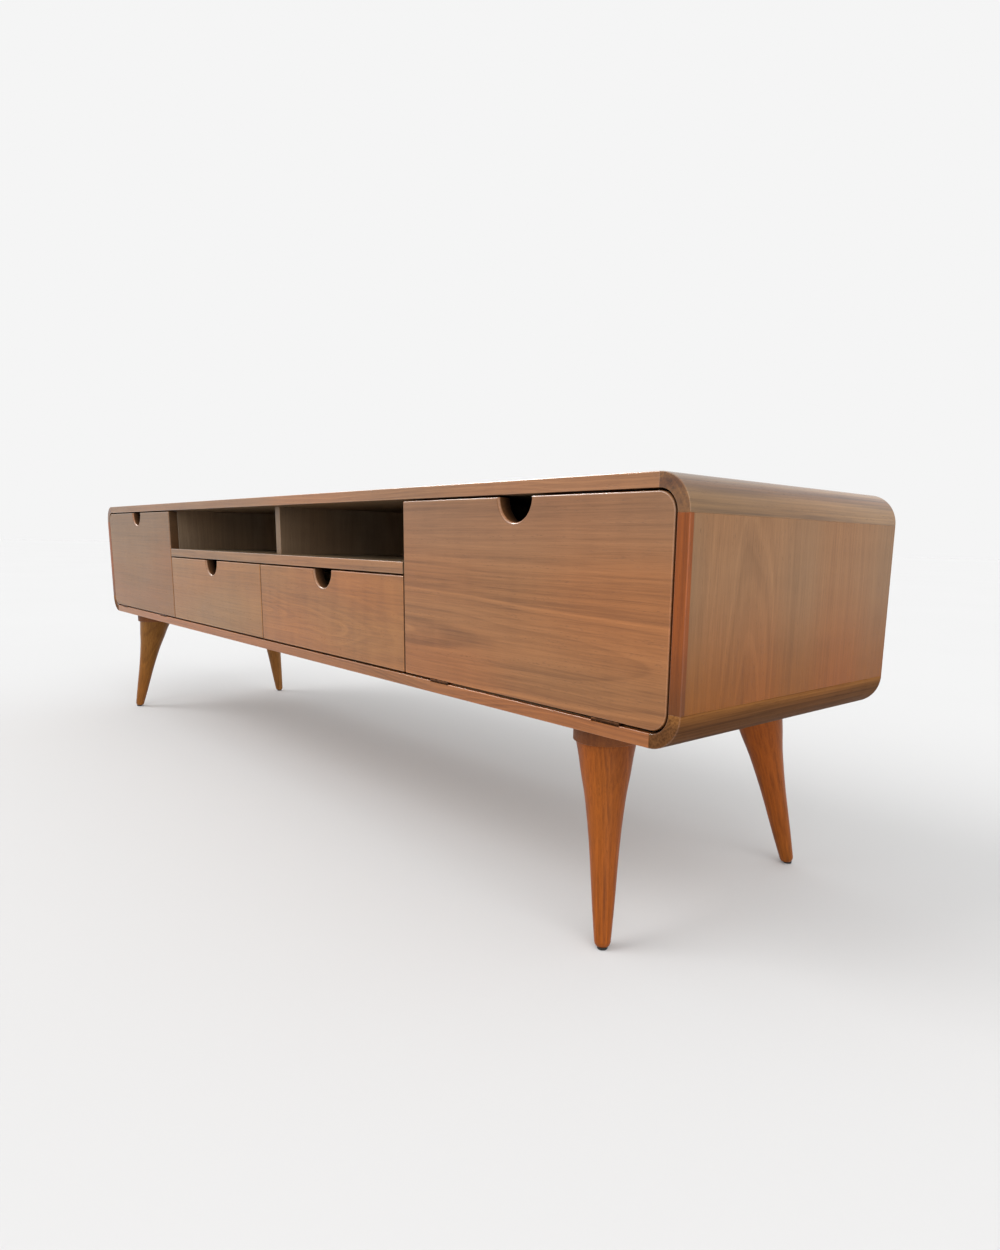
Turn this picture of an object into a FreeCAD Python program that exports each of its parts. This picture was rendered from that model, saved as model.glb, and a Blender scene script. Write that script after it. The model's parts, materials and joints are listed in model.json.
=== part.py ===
import FreeCAD, Part
import math
import os
import re
from FreeCAD import Placement, Rotation, Vector
import Sketcher

# Low walnut television console: a rounded carcass on four splayed turned legs,
# a drop-down flap at each end, two drawers in the middle and two open bays above them.
# Frame: origin on the floor under the middle of the cabinet, +X to the right,
# the fronts face -Y, +Z up. Millimetres.

doc = FreeCAD.newDocument("tv_console")
sheet = doc.addObject("Spreadsheet::Sheet", "Sizes")
sheet.Label = "Sizes"

SIZES = [
    # overall
    ("width", 1900.0), ("depth", 410.0), ("height", 510.0),
    ("leg_room", 245.0),        # floor to the underside of the carcass
    ("board", 15.0),            # top, bottom and side panels
    ("corner", 38.0),           # outer radius of the corner blocks
    ("lipping", 6.0),           # solid edge strip on the front of each panel
    ("ease", 0.9),              # eased arrises of the lippings and blocks
    # inner boards
    ("partition", 16.0), ("divider", 18.0), ("shelf", 16.0),
    ("end_bay", 479.0),         # outside of the carcass to the inner edge of a flap
    ("shelf_low", 152.0),       # underside of the carcass to the underside of the shelf
    ("divider_set_back", 36.0),
    ("back_board", 6.0), ("rebate_deep", 8.0), ("rebate_over", 7.0),
    ("cable_hole", 25.0), ("cable_hole_x", 240.0), ("cable_hole_z", 455.0),
    # fronts
    ("front_board", 18.0), ("front_gap", 2.5), ("low_gap", 3.0), ("mid_gap", 3.0),
    ("front_ease", 2.0), ("behind_front", 0.5), ("flap_corner", 20.5),
    ("notch", 28.5), ("notch_ease", 3.5), ("notch_ease_back", 2.0),
    # drawers
    ("drawer_side", 12.0), ("side_play", 4.0), ("box_low", 27.0), ("box_high", 110.0),
    ("box_long", 340.0), ("back_top", 2.0), ("bottom_board", 6.0), ("bottom_up", 8.0),
    ("groove", 5.0), ("housing", 4.0), ("drawer_travel", 250.0),
    ("runner_thick", 9.5), ("runner_high", 18.0), ("runner_play", 0.5),
    ("runner_up", 48.0), ("runner_groove", 6.0), ("runner_front", 15.0), ("runner_back", 3.0),
    ("stop_thick", 6.0), ("stop_strip", 12.0), ("stop_drop", 8.0), ("stop_wide", 24.0),
    # legs
    ("leg_block", 38.0), ("leg_block_thick", 20.0),
    ("leg_top_end", 146.0), ("leg_top_front", 54.5),
    ("leg_foot_end", 104.5), ("leg_foot_front", 14.8),
    ("leg_top_radius", 35.0), ("leg_tip_radius", 9.4), ("glide_thick", 3.0), ("glide_radius", 6.0),
    # flap hinges, stays and catches
    ("hinge_half", 20.0), ("hinge_apart", 150.0), ("hinge_leaf", 1.2), ("knuckle", 2.0),
    ("hinge_pin", 1.0), ("pin_play", 0.05), ("pivot_in", 2.0),
    ("stay_radius", 180.0), ("stay_half", 4.0), ("stay_thick", 2.0),
    ("catch_off", 100.0),
    # joints
    ("spline_thick", 4.0), ("spline_wide", 16.0), ("dowel", 4.0),
]
ALIASES = [a for a, v in SIZES]
for row, (alias, value) in enumerate(SIZES, start=1):
    sheet.set("A%d" % row, alias)
    sheet.set("B%d" % row, str(value))
    sheet.setAlias("B%d" % row, alias)
doc.recompute()
S = {a: float(getattr(sheet, a)) for a in ALIASES}


def X(text):
    """An expression in the sheet's words."""
    return re.sub(r"[a-z][a-z_]*", lambda k: "Sizes." + k.group(0) if k.group(0) in S else k.group(0), text)


def span(side, low, high):
    """The same stretch on the right (+1) or mirrored to the left (-1)."""
    return (low, high) if side > 0 else ("-(%s)" % high, "-(%s)" % low)


def place(obj, x, y, z):
    for axis, text in zip("xyz", (x, y, z)):
        obj.setExpression("Placement.Base." + axis, X(text))


def new_body(name):
    b = doc.addObject("PartDesign::Body", name)
    b.Label = name
    return b


def new_sketch(body, name, role):
    s = body.newObject("Sketcher::SketchObject", name)
    plane = [o for o in body.Origin.OriginFeatures if o.Role == role][0]
    s.AttachmentSupport = (plane, [""])
    s.MapMode = "FlatFace"
    return s


def rectangle(s, wide, high, centred=False):
    """Rectangle w x h: its low corner at the origin, or its top edge centred on the origin."""
    a, b, c, d = ((Vector(0, 0, 0), Vector(50, 0, 0), Vector(50, 40, 0), Vector(0, 40, 0)) if not centred else
                  (Vector(-25, -40, 0), Vector(25, -40, 0), Vector(25, 0, 0), Vector(-25, 0, 0)))
    s.addGeometry([Part.LineSegment(a, b), Part.LineSegment(b, c), Part.LineSegment(c, d), Part.LineSegment(d, a)], False)
    C = Sketcher.Constraint
    s.addConstraint([C("Coincident", 0, 2, 1, 1), C("Coincident", 1, 2, 2, 1), C("Coincident", 2, 2, 3, 1),
                     C("Coincident", 3, 2, 0, 1), C("Horizontal", 0), C("Horizontal", 2), C("Vertical", 1), C("Vertical", 3)])
    if centred:
        s.addConstraint(C("Symmetric", 2, 1, 2, 2, -1, 1))
    else:
        s.addConstraint(C("Coincident", 0, 1, -1, 1))
    i = s.addConstraint(C("DistanceX", 0, 1, 0, 2, 50.0))
    j = s.addConstraint(C("DistanceY", 1, 1, 1, 2, 40.0))
    s.renameConstraint(i, "wide")
    s.renameConstraint(j, "high")
    s.setExpression("Constraints.wide", X(wide))
    s.setExpression("Constraints.high", X(high))


def board(name, xs, ys, zs):
    """A rectangular board between two x, two y and two z expressions."""
    b = new_body(name)
    s = new_sketch(b, name + "_outline", "XY_Plane")
    rectangle(s, "(%s)-(%s)" % (xs[1], xs[0]), "(%s)-(%s)" % (ys[1], ys[0]))
    pad = b.newObject("PartDesign::Pad", name + "_pad")
    pad.Profile = s
    pad.Length = 10
    pad.setExpression("Length", X("(%s)-(%s)" % (zs[1], zs[0])))
    place(b, xs[0], ys[0], zs[0])
    return b


def ease(body, radius, pick, tag="ease"):
    """Round the edges of the body's tip that pick() chooses."""
    doc.recompute()
    tip = body.Tip
    names = ["Edge%d" % (i + 1) for i, e in enumerate(tip.Shape.Edges) if pick(e)]
    f = body.newObject("PartDesign::Fillet", body.Name + "_" + tag)
    f.Base = (tip, names)
    f.setExpression("Radius", X(radius))
    doc.recompute()
    return f


def box(name, xs, ys, zs):
    o = doc.addObject("Part::Box", name)
    o.Label = name
    for prop, (a, b) in (("Length", xs), ("Width", ys), ("Height", zs)):
        o.setExpression(prop, X("(%s)-(%s)" % (b, a)))
    place(o, xs[0], ys[0], zs[0])
    return o


def compound(name, links):
    o = doc.addObject("Part::Compound", name)
    o.Label = name
    o.Links = links
    return o


def made(name, shape):
    o = doc.addObject("Part::Feature", name)
    o.Label = name
    o.Shape = shape
    return o


PARTS = []          # (node name, object, number of solids)
CUTS = []           # (cut object, its blank): the cut must take something away
TOOLS = {}          # node name -> tools that cut it


def tool(name, *objs):
    TOOLS.setdefault(name, []).extend(objs)


BLANKS = []


def piece(name, blank, solids=1):
    BLANKS.append((name, blank, solids))


def finish_pieces():
    for name, blank, solids in BLANKS:
        tools = TOOLS.get(name)
        if not tools:
            blank.Label = name
            PARTS.append((name, blank, solids))
            continue
        blank.Label = name + "_blank"
        t = tools[0] if len(tools) == 1 else compound(name + "_cutters", tools)
        c = doc.addObject("Part::Cut", name + "_cut")
        c.Label = name
        c.Base = blank
        c.Tool = t
        CUTS.append((c, blank))
        PARTS.append((name, c, solids))


# ---------------------------------------------------------------- named levels
HALF = "width/2"
PANEL = "width/2-corner"                      # end of a panel, start of a corner block
INNER = "width/2-board"
FRONT, BACK = "-depth/2", "depth/2"
LIP = "-depth/2+lipping"
LOW, HIGH = "leg_room", "height"
FLOOR, CEIL = "leg_room+board", "height-board"
BEHIND = "-depth/2+front_board+behind_front"  # front edge of partitions
REAR = "depth/2-rebate_deep"                  # inner face of the back panel
FLAP_IN = "width/2-end_bay"                   # inner edge of a flap, bay face of a partition
PART_OUT = "width/2-end_bay+partition"
SH0, SH1 = "leg_room+shelf_low", "leg_room+shelf_low+shelf"

hw, hd = S["width"] / 2, S["depth"] / 2
front_y, back_y = -hd, hd
low, high = S["leg_room"], S["height"]
floor_z, ceil_z = low + S["board"], high - S["board"]
flap_in = hw - S["end_bay"]
part_out = flap_in + S["partition"]
sh0 = low + S["shelf_low"]
sh1 = sh0 + S["shelf"]
rear = hd - S["rebate_deep"]
behind = -hd + S["front_board"] + S["behind_front"]

# ---------------------------------------------------------------- back panel and its rebate
def rounded_plate(name, grow, y0, y1):
    """Plate across the back with rounded corners, wider than the inside by rebate_over + grow."""
    b = new_body(name)
    s = new_sketch(b, name + "_outline", "XY_Plane")
    wide = "width-2*board+2*rebate_over+2*(%s)" % grow
    rectangle(s, wide, "(%s)-(%s)" % (y1, y0))
    pad = b.newObject("PartDesign::Pad", name + "_pad")
    pad.Profile = s
    pad.Length = 10
    pad.setExpression("Length", X("height-leg_room-2*board+2*rebate_over+2*(%s)" % grow))
    ease(b, "corner-board+rebate_over+(%s)" % grow,
         lambda e: abs(e.Vertexes[0].Y - e.Vertexes[-1].Y) > 1, "corners")
    place(b, "-(%s)/2" % wide, y0, "leg_room+board-rebate_over-(%s)" % grow)
    return b


rebate = rounded_plate("rebate_space", "0", REAR, BACK + "+5")
back_blank = rounded_plate("back_panel", "-0.5", REAR, REAR + "+back_board")
holes = []
for side, word in ((-1, "left"), (1, "right")):
    c = doc.addObject("Part::Cylinder", word + "_cable_hole")
    c.setExpression("Radius", X("cable_hole"))
    c.Height = 40
    c.Placement = Placement(Vector(0, 0, 0), Rotation(Vector(1, 0, 0), -90))
    place(c, "%d*cable_hole_x" % side, REAR + "-15", "cable_hole_z")
    holes.append(c)
tool("back_panel", *holes)
piece("back_panel", back_blank)

# ---------------------------------------------------------------- panels, lippings, corner blocks
piece("top_panel", board("top_panel", ("-(%s)" % PANEL, PANEL), (LIP, BACK), (CEIL, HIGH)))
piece("bottom_panel", board("bottom_panel", ("-(%s)" % PANEL, PANEL), (LIP, BACK), (LOW, FLOOR)))
tool("top_panel", rebate)
tool("bottom_panel", rebate)


def on_front(e):
    return all(abs(v.Y) < 1e-4 for v in e.Vertexes)


for name, zs in (("top_front_lipping", (CEIL, HIGH)), ("bottom_front_lipping", (LOW, FLOOR))):
    b = board(name, ("-(%s)" % PANEL, PANEL), (FRONT, LIP), zs)
    ease(b, "ease", lambda e: on_front(e) and abs(e.Vertexes[0].X - e.Vertexes[-1].X) > 1)
    piece(name, b)

for side, word in ((-1, "left"), (1, "right")):
    xs = span(side, INNER, HALF)
    zs = ("leg_room+corner", "height-corner")
    n = word + "_side_panel"
    piece(n, board(n, xs, (LIP, BACK), zs))
    tool(n, rebate)
    n = word + "_front_lipping"
    b = board(n, xs, (FRONT, LIP), zs)
    ease(b, "ease", lambda e: on_front(e) and abs(e.Vertexes[0].Z - e.Vertexes[-1].Z) > 1)
    piece(n, b)

    for up, updown in ((1, "top"), (-1, "bottom")):
        n = "%s_%s_corner_block" % (updown, word)
        b = new_body(n)
        s = new_sketch(b, n + "_section", "XZ_Plane")
        a0 = {(1, 1): 0, (-1, 1): 90, (-1, -1): 180, (1, -1): 270}[(side, up)]
        r1, r0 = S["corner"], S["corner"] - S["board"]

        def at(r, deg):
            return Vector(r * math.cos(math.radians(deg)), r * math.sin(math.radians(deg)), 0)
        outer = Part.ArcOfCircle(Part.Circle(Vector(0, 0, 0), Vector(0, 0, 1), r1), math.radians(a0), math.radians(a0 + 90))
        inner = Part.ArcOfCircle(Part.Circle(Vector(0, 0, 0), Vector(0, 0, 1), r0), math.radians(a0), math.radians(a0 + 90))
        s.addGeometry([outer, Part.LineSegment(at(r1, a0 + 90), at(r0, a0 + 90)), inner,
                       Part.LineSegment(at(r0, a0), at(r1, a0))], False)
        C = Sketcher.Constraint
        s.addConstraint([C("Coincident", 0, 3, -1, 1), C("Coincident", 2, 3, -1, 1),
                         C("Coincident", 0, 2, 1, 1), C("Coincident", 1, 2, 2, 2),
                         C("Coincident", 2, 1, 3, 1), C("Coincident", 3, 2, 0, 1)])
        flat, upright = (3, 1) if a0 in (0, 180) else (1, 3)
        s.addConstraint([C("PointOnObject", flat, 1, -1), C("PointOnObject", flat, 2, -1),
                         C("PointOnObject", upright, 1, -2), C("PointOnObject", upright, 2, -2)])
        i = s.addConstraint(C("Radius", 0, r1))
        j = s.addConstraint(C("Radius", 2, r0))
        s.renameConstraint(i, "outer")
        s.renameConstraint(j, "inner")
        s.setExpression("Constraints.outer", X("corner"))
        s.setExpression("Constraints.inner", X("corner-board"))
        pad = b.newObject("PartDesign::Pad", n + "_pad")
        pad.Profile = s
        pad.Reversed = True
        pad.setExpression("Length", X("depth"))
        ease(b, "ease", lambda e: on_front(e) and e.Curve.TypeId == "Part::GeomCircle")
        place(b, "%d*(%s)" % (side, PANEL), FRONT, "height-corner" if up > 0 else "leg_room+corner")
        piece(n, b)
        tool(n, rebate)

# loose tongues in the block joints
splines = []
for side, word in ((-1, "left"), (1, "right")):
    for up, updown in ((1, "top"), (-1, "bottom")):
        zc = "height-board/2" if up > 0 else "leg_room+board/2"
        splines.append(box("%s_%s_flat_spline" % (word, updown),
                           span(side, PANEL + "-spline_wide/2", PANEL + "+spline_wide/2"),
                           (FRONT + "+20", BACK + "-20"),
                           (zc + "-spline_thick/2", zc + "+spline_thick/2")))
        zc = "height-corner" if up > 0 else "leg_room+corner"
        splines.append(box("%s_%s_upright_spline" % (word, updown),
                           span(side, "width/2-board/2-spline_thick/2", "width/2-board/2+spline_thick/2"),
                           (FRONT + "+20", BACK + "-20"),
                           (zc + "-spline_wide/2", zc + "+spline_wide/2")))
corner_splines = compound("corner_splines", splines)
piece("corner_splines", corner_splines, 8)
for n in ("top_panel", "bottom_panel", "left_side_panel", "right_side_panel",
          "top_left_corner_block", "top_right_corner_block",
          "bottom_left_corner_block", "bottom_right_corner_block"):
    tool(n, corner_splines)

# ---------------------------------------------------------------- inner boards
for side, word in ((-1, "left"), (1, "right")):
    n = word + "_partition"
    piece(n, board(n, span(side, FLAP_IN, PART_OUT), (BEHIND, REAR), (FLOOR, CEIL)))

shelf = board("middle_shelf", ("-(%s)" % FLAP_IN, FLAP_IN), (FRONT, REAR), (SH0, SH1))
ease(shelf, "ease", lambda e: on_front(e) and abs(e.Vertexes[0].X - e.Vertexes[-1].X) > 1)
piece("middle_shelf", shelf)
for side, word in ((-1, "left"), (1, "right")):
    tool("middle_shelf", box(word + "_shelf_relief", span(side, FLAP_IN + "-front_gap", FLAP_IN + "+5"),
                             (FRONT + "-5", BEHIND), (SH0 + "-5", SH1 + "+5")))
divider = board("bay_divider", ("-divider/2", "divider/2"), (FRONT + "+divider_set_back", REAR), (SH1, CEIL))
ease(divider, "ease", lambda e: on_front(e) and abs(e.Vertexes[0].Z - e.Vertexes[-1].Z) > 1)
piece("bay_divider", divider)
piece("drawer_partition", board("drawer_partition", ("-partition/2", "partition/2"), (BEHIND, REAR), (FLOOR, SH0)))

# dowels between the inner boards and the panels
dw = []


def dowel(x, y, z, axis, length):
    dw.append(Part.makeCylinder(S["dowel"], length, Vector(x, y, z), axis))


UP, RIGHT = Vector(0, 0, 1), Vector(1, 0, 0)
pc = flap_in + S["partition"] / 2
for side in (-1, 1):
    for y in (-150, 0, 150):
        dowel(side * pc, y, ceil_z - 15, UP, 24)
        dowel(side * pc, y, floor_z - 9, UP, 24)
        dowel(side * (flap_in - 19), y, (sh0 + sh1) / 2, Vector(side, 0, 0), 28)
for y in (-120, 150):
    dowel(0, y, ceil_z - 15, UP, 24)
    dowel(0, y, sh1 - 9, UP, 24)
    dowel(0, y, floor_z - 9, UP, 24)
for y in (-60, 90):
    dowel(0, y, sh0 - 15, UP, 24)
carcass_dowels = made("carcass_dowels", Part.makeCompound(dw))
piece("carcass_dowels", carcass_dowels, len(dw))
for n in ("top_panel", "bottom_panel", "left_partition", "right_partition", "middle_shelf",
          "bay_divider", "drawer_partition"):
    tool(n, carcass_dowels)

# ---------------------------------------------------------------- fasteners
def screw(pos, direction, radius, length, head_radius, head_len, recess=True):
    """Countersunk wood screw with its head's face at pos, pointing along direction."""
    point = 2.2 * radius
    s = Part.makeCone(head_radius, radius, head_len)
    s = s.fuse(Part.makeCylinder(radius, length - head_len - point, Vector(0, 0, head_len)))
    s = s.fuse(Part.makeCone(radius, radius * 0.25, point, Vector(0, 0, length - point)))
    s = s.removeSplitter()
    if recess:
        w, l, d = head_radius * 0.22, head_radius * 1.1, head_len * 0.55
        cross = Part.makeBox(l, w, d, Vector(-l / 2, -w / 2, 0)).fuse(Part.makeBox(w, l, d, Vector(-w / 2, -l / 2, 0)))
        s = s.cut(cross)
    s.Placement = Placement(Vector(*pos), Rotation(Vector(0, 0, 1), Vector(*direction)))
    return s


def screws(name, wanted):
    """Two objects: the screws, and the same screws without drive recesses, which bore their holes."""
    solid = made(name, Part.makeCompound([screw(*w) for w in wanted]))
    bore = made(name + "_holes", Part.makeCompound([screw(*w, recess=False) for w in wanted]))
    piece(name, solid, len(wanted))
    return bore


want = []
zt, zb = ceil_z + S["rebate_over"] / 2, floor_z - S["rebate_over"] / 2
yb = rear + S["back_board"]
for x in (-850, -pc, 0, pc, 850):
    for z in (zt, zb):
        want.append(((x, yb, z), (0, -1, 0), 1.5, 15, 2.8, 1.8))
for x in (-1, 1):
    for z in (330, 425):
        want.append(((x * (hw - S["board"] + S["rebate_over"] / 2), yb, z), (0, -1, 0), 1.5, 15, 2.8, 1.8))
back_holes = screws("back_panel_screws", want)
for n in ("back_panel", "top_panel", "bottom_panel", "left_side_panel", "right_side_panel"):
    tool(n, back_holes)

# ---------------------------------------------------------------- legs
LEGS = [("front_left", -1, -1), ("front_right", 1, -1), ("rear_left", -1, 1), ("rear_right", 1, 1)]
leg_top_z = low - S["leg_block_thick"]
blocks, bolts, bolt_bores, block_screws, glides, glide_pins = [], [], [], [], [], []
lower_slab = box("leg_slab", ("-width", "width"), ("-depth", "depth"), ("glide_thick", "leg_room-leg_block_thick"))
leg_names = []
for word, sx, sy in LEGS:
    tx, ty = sx * (hw - S["leg_top_end"]), sy * (hd - S["leg_top_front"])
    fx, fy = sx * (hw - S["leg_foot_end"]), sy * (hd - S["leg_foot_front"])
    down = Vector(fx - tx, fy - ty, -leg_top_z)
    length = down.Length
    down = down / length
    turn = Rotation(Vector(0, 0, -1), down)
    n = word + "_leg"
    b = new_body(n + "_turning")
    s = new_sketch(b, n + "_profile", "XZ_Plane")
    R, q = S["leg_top_radius"], S["leg_tip_radius"]
    pts = [(R * 1.07, 12), (R, 0), (R * 0.905, -0.07 * length), (R * 0.81, -0.16 * length), (R * 0.70, -0.25 * length),
           (R * 0.60, -0.36 * length), (R * 0.49, -0.52 * length), (R * 0.395, -0.72 * length),
           (R * 0.315, -0.88 * length), (q, -length + q * 0.95)]
    curve = Part.BSplineCurve()
    curve.interpolate([Vector(r, z, 0) for r, z in pts])
    end = Vector(q, -length + q * 0.95, 0)
    tip = Vector(0, -length, 0)
    mid = Vector(q * 0.72, -length + q * 0.27, 0)
    s.addGeometry([curve,
                   Part.Arc(end, mid, tip),
                   Part.LineSegment(tip, Vector(0, 12, 0)),
                   Part.LineSegment(Vector(0, 12, 0), Vector(R * 1.07, 12, 0))], False)
    rev = b.newObject("PartDesign::Revolution", n + "_turned")
    rev.Profile = s
    rev.ReferenceAxis = (s, ["V_Axis"])
    rev.Angle = 360
    b.Placement = Placement(Vector(tx, ty, leg_top_z), turn)
    c = doc.addObject("Part::Common", n + "_trimmed")
    c.Base = b
    c.Tool = lower_slab
    piece(n, c)
    leg_names.append(n)

    k = new_body(word + "_block")
    s = new_sketch(k, word + "_block_outline", "XY_Plane")
    s.addGeometry(Part.Circle(Vector(0, 0, 0), Vector(0, 0, 1), 30), False)
    s.addConstraint(Sketcher.Constraint("Coincident", 0, 3, -1, 1))
    i = s.addConstraint(Sketcher.Constraint("Radius", 0, 30.0))
    s.renameConstraint(i, "radius")
    s.setExpression("Constraints.radius", X("leg_block"))
    pad = k.newObject("PartDesign::Pad", word + "_block_pad")
    pad.Profile = s
    pad.setExpression("Length", X("leg_block_thick"))
    ease(k, "1.5", lambda e: abs(e.Vertexes[0].Z) < 1e-4 and e.Curve.TypeId == "Part::GeomCircle")
    place(k, "%d*(width/2-leg_top_end)" % sx, "%d*(depth/2-leg_top_front)" % sy, "leg_room-leg_block_thick")
    blocks.append(k)

    top = Vector(tx, ty, leg_top_z)
    bolts.append(Part.makeCylinder(4.0, 62.0, top + down * 45.0, Vector(-down.x, -down.y, -down.z)))
    for a in (45, 135, 225, 315):
        ca, sa = math.cos(math.radians(a)), math.sin(math.radians(a))
        block_screws.append(((tx + 28 * ca, ty + 28 * sa, leg_top_z), (0, 0, 1), 2.0, 30, 4.2, 2.6))
    g = Part.makeCylinder(S["glide_radius"], S["glide_thick"], Vector(fx, fy, 0))
    g = g.makeFillet(1.0, [e for e in g.Edges if abs(e.BoundBox.ZMax) < 1e-6])
    p = Part.makeCone(1.3, 0.4, 9.0, Vector(fx, fy, S["glide_thick"]))
    glides.append(g.fuse(p))
    glide_pins.append(Part.makeCone(1.3, 0.4, 9.0, Vector(fx, fy, S["glide_thick"])))

leg_blocks = compound("leg_blocks", blocks)
piece("leg_blocks", leg_blocks, 4)
hanger = made("leg_hanger_bolts", Part.makeCompound(bolts))
piece("leg_hanger_bolts", hanger, 4)
block_holes = screws("leg_block_screws", block_screws)
piece("foot_glides", made("foot_glides", Part.makeCompound(glides)), 4)
glide_holes = made("glide_pin_holes", Part.makeCompound(glide_pins))
tool("leg_blocks", hanger, block_holes)
tool("bottom_panel", block_holes)
for n in leg_names:
    tool(n, hanger, glide_holes)

# ---------------------------------------------------------------- fronts
def front(name, xs, zs, outer=0):
    """A front with eased edges and a half-round finger notch centred on its top edge.
    Its own origin is the middle of the top front edge; outer = +1/-1 rounds that side's corners."""
    b = new_body(name)
    s = new_sketch(b, name + "_outline", "XZ_Plane")
    rectangle(s, "(%s)-(%s)" % (xs[1], xs[0]), "(%s)-(%s)" % (zs[1], zs[0]), centred=True)
    pad = b.newObject("PartDesign::Pad", name + "_pad")
    pad.Profile = s
    pad.Reversed = True
    pad.setExpression("Length", X("front_board"))
    if outer:
        ease(b, "flap_corner", lambda e: abs(e.Vertexes[0].Y - e.Vertexes[-1].Y) > 1 and e.Vertexes[0].X * outer > 0, "corners")
    ease(b, "front_ease", lambda e: all(abs(v.Y) < 1e-4 for v in e.Vertexes))
    # the notch: a turned cutter about the front-to-back line through the middle of the top edge
    g = new_sketch(b, name + "_notch_section", "YZ_Plane")
    T, R, e1, e2 = S["front_board"], S["notch"], S["notch_ease"], S["notch_ease_back"]
    c45 = math.cos(math.radians(45))
    P = [Vector(-1, 0, 0), Vector(-1, -(R + e1), 0), Vector(0, -(R + e1), 0), Vector(e1, -R, 0),
         Vector(T - e2, -R, 0), Vector(T, -(R + e2), 0), Vector(T + 1, -(R + e2), 0), Vector(T + 1, 0, 0)]
    m1 = Vector(e1 * (1 - c45), -(R + e1 * (1 - c45)), 0)
    m2 = Vector(T - e2 * (1 - c45), -(R + e2 * (1 - c45)), 0)
    g.addGeometry([Part.LineSegment(P[0], P[1]), Part.LineSegment(P[1], P[2]), Part.Arc(P[2], m1, P[3]),
                   Part.LineSegment(P[3], P[4]), Part.Arc(P[4], m2, P[5]), Part.LineSegment(P[5], P[6]),
                   Part.LineSegment(P[6], P[7]), Part.LineSegment(P[7], P[0])], False)
    cut = b.newObject("PartDesign::Groove", name + "_notch")
    cut.Profile = g
    cut.ReferenceAxis = (g, ["H_Axis"])
    cut.Angle = 360
    doc.recompute()
    place(b, "((%s)+(%s))/2" % xs, FRONT, zs[1])
    piece(name, b)
    return b


FLAP_Z = (FLOOR + "+low_gap", CEIL + "-front_gap")
DRAWER_Z = (FLOOR + "+low_gap", SH0 + "-front_gap")
flap_x0, flap_x1 = flap_in, hw - S["board"] - S["front_gap"]
flap_mid = (flap_x0 + flap_x1) / 2
flap_z0, flap_z1 = floor_z + S["low_gap"], ceil_z - S["front_gap"]
flap_back = front_y + S["front_board"]
pivot_y, pivot_z = front_y + S["pivot_in"], floor_z + S["low_gap"] / 2

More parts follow.
